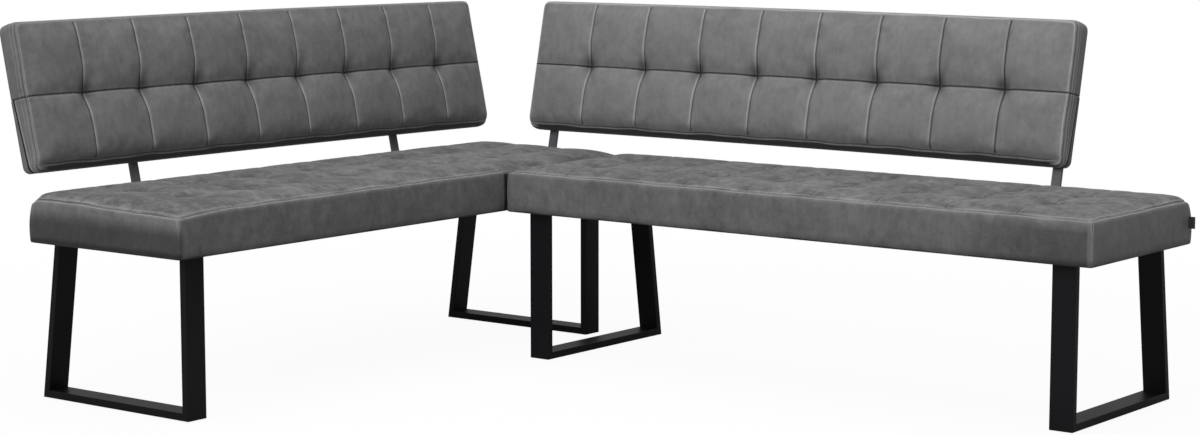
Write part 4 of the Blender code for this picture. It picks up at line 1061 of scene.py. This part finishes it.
class BENCH_OT_rear_panels(bpy.types.Operator):
    """Make the wedge-shaped panels over the lower backs"""

    bl_idname = "bench.rear_panels"
    bl_label = "Rear panels"

    def execute(self, context):
        cover = panel_material("brushed_rear_cover", context.scene.bench_looks)
        for name in ("corner", "side"):
            panel = rear_cover(name, SLABS[name + "_backrest"][2])
            hollow_rear_cover(panel, name, board_matrix(name))
            finish_piece(panel, cover, "cover", name + "_backrest_rear_cover")
            panel.data.set_sharp_from_angle(angle=math.radians(50))
        return {"FINISHED"}


class BENCH_OT_stitches(bpy.types.Operator):
    """Sew the double rows of stitches along the turns of the cushions"""

    bl_idname = "bench.stitches"
    bl_label = "Stitches"

    def execute(self, context):
        looks = context.scene.bench_looks
        thread = thread_material(looks)
        for key, (obj, pad, matrix) in SLABS.items():
            seam = BACK_SEAM if key.endswith("backrest") else SEAT_SEAM
            u, v = pad.u[pad.edge], pad.v[pad.edge]
            if key.endswith("backrest"):
                keep = v > -pad.half[1] + 0.004
            elif key == "side_seat":
                keep = u < pad.half[0] - 0.004
            else:
                keep = (u > SEAT_DEPTH + 0.004 - pad.half[0]) | (v < pad.half[1] - 0.004)
            rows = [ring_row(pad, matrix, seam + side * looks.stitch_offset, keep) for side in (-1, 1)]
            sewn = stitch_rows(key + "_stitches", rows, obj, looks.stitch_pitch, looks.thread_width)
            finish_piece(sewn, thread, "cover")
        return {"FINISHED"}


class BENCH_OT_finishes(bpy.types.Operator):
    """Give the steel, plastic, wood, lining and tag their finishes"""

    bl_idname = "bench.finishes"
    bl_label = "Finishes"

    def execute(self, context):
        steel = steel_material(context.scene.bench_looks)
        plastic, zinc, wood, felt, ribbon, upright_painted_reflection = (plain_material(name, *values) for name, values in PLAIN.items())
        finishes = {"board": wood, "lining": felt, "glide": plastic, "tag": ribbon}
        for name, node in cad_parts.items():
            ending = name.rsplit("_", 1)[-1]
            # The uprights get the lighter steel, its colour painted reflection
            chosen = zinc if "screw" in name else finishes.get(ending, upright_painted_reflection if "upright" in name else steel)
            node.data.materials.clear()
            node.data.materials.append(chosen)
        return {"FINISHED"}


class BENCH_OT_studio(bpy.types.Operator):
    """Set up the floor, the lights and the camera"""

    bl_idname = "bench.studio"
    bl_label = "Studio"

    def execute(self, context):
        scene = context.scene
        studio = scene.bench_studio
        mesh = bpy.data.meshes.new("studio_floor")
        corners = ((-60, -60), (60, -60), (60, 60), (-60, 60))
        mesh.from_pydata([(x, y, -0.0002) for x, y in corners], [], [(0, 1, 2, 3)])
        sh = Shader("studio_floor")
        seen = sh.node("LightPath")
        paint = sh.mix(seen, studio.floor_colour, (0.92, 0.92, 0.92))
        sh.set(Base_Color=paint, Roughness=0.9, Specular_IOR_Level=0.0)
        x, y = sh.axes(sh.place())[:2]
        away = ((x * x + y * y) ** 0.5 * (1 / 1.6) - 1.1).clamp()
        glow = sh.node("Emission", inputs={"Color": WHITE, "Strength": 1.0})
        painted = Socket(sh.tree, sh.surface.outputs[0])
        mixed = sh.node("MixShader", inputs={0: seen * (away * 0.06 + 0.94), 1: painted, 2: glow})
        sh.put(sh.tree.nodes["Material Output"].inputs[0], mixed)
        mesh.materials.append(sh.material)
        floor = linked("studio_floor", mesh)

        scene.world = bpy.data.worlds.new("studio")
        sky = Nodes(scene.world)
        even, bright = (
            sky.node("Background", inputs={"Color": WHITE, "Strength": power}) for power in (studio.fill, 1.0)
        )
        mixed = sky.node("MixShader", inputs={0: sky.node("LightPath"), 1: even, 2: bright})
        sky.put(sky.tree.nodes["World Output"].inputs[0], mixed)

        lamps = (("key", (1.0, -7.5, 4.6), 4.5, studio.key_power), ("top", (0.0, 0.3, 3.6), 3.6, studio.top_power))
        for name, place, width, power in lamps:
            lamp = bpy.data.lights.new("studio_" + name, "AREA")
            lamp.shape = "SQUARE"
            lamp.size = width
            lamp.energy = power
            obj = linked("studio_" + name, lamp)
            obj.location = place
            obj.rotation_euler = (Vector((0, 0.2, 0.5)) - Vector(place)).to_track_quat("-Z", "Y").to_euler()

        camera = bpy.data.cameras.new("studio_camera")
        camera.sensor_width = SENSOR_WIDTH
        camera.lens = FOCAL_IN_PIXELS * SENSOR_WIDTH / IMAGE_WIDTH
        camera.clip_start, camera.clip_end = 0.1, 60.0
        scene.camera = linked("studio_camera", camera)
        scene.camera.location = section_matrix("corner").to_translation() + Vector(CAMERA_FROM_CORNER)
        scene.camera.rotation_euler = (math.pi / 2 - CAMERA_PITCH, 0, CAMERA_TURN)
        scene.view_settings.view_transform = "Standard"
        return {"FINISHED"}


class BENCH_PT_panel(bpy.types.Panel):
    """The bench's steps and settings"""

    bl_idname = "BENCH_PT_panel"
    bl_label = "Corner bench"
    bl_space_type = "VIEW_3D"
    bl_region_type = "UI"
    bl_category = "Bench"

    def draw(self, context):
        for group, settings in (("Bench", context.scene.bench_looks), ("Studio", context.scene.bench_studio)):
            box = self.layout.box()
            box.label(text=group)
            for key in settings.__annotations__:
                box.prop(settings, key)
        for operator in OPERATORS:
            self.layout.operator(operator.bl_idname)


OPERATORS = (BENCH_OT_pads, BENCH_OT_rear_panels, BENCH_OT_stitches, BENCH_OT_finishes, BENCH_OT_studio)
CLASSES = (BenchLooks, StudioLooks, *OPERATORS, BENCH_PT_panel)


def register():
    for entry in CLASSES:
        bpy.utils.register_class(entry)
    bpy.types.Scene.bench_looks = bpy.props.PointerProperty(type=BenchLooks)
    bpy.types.Scene.bench_studio = bpy.props.PointerProperty(type=StudioLooks)


def unregister():
    del bpy.types.Scene.bench_looks
    del bpy.types.Scene.bench_studio
    for entry in reversed(CLASSES):
        bpy.utils.unregister_class(entry)


def main():
    register()
    for operator in OPERATORS:
        group, name = operator.bl_idname.split(".")
        getattr(getattr(bpy.ops, group), name)()


if __name__ == "__main__":
    main()
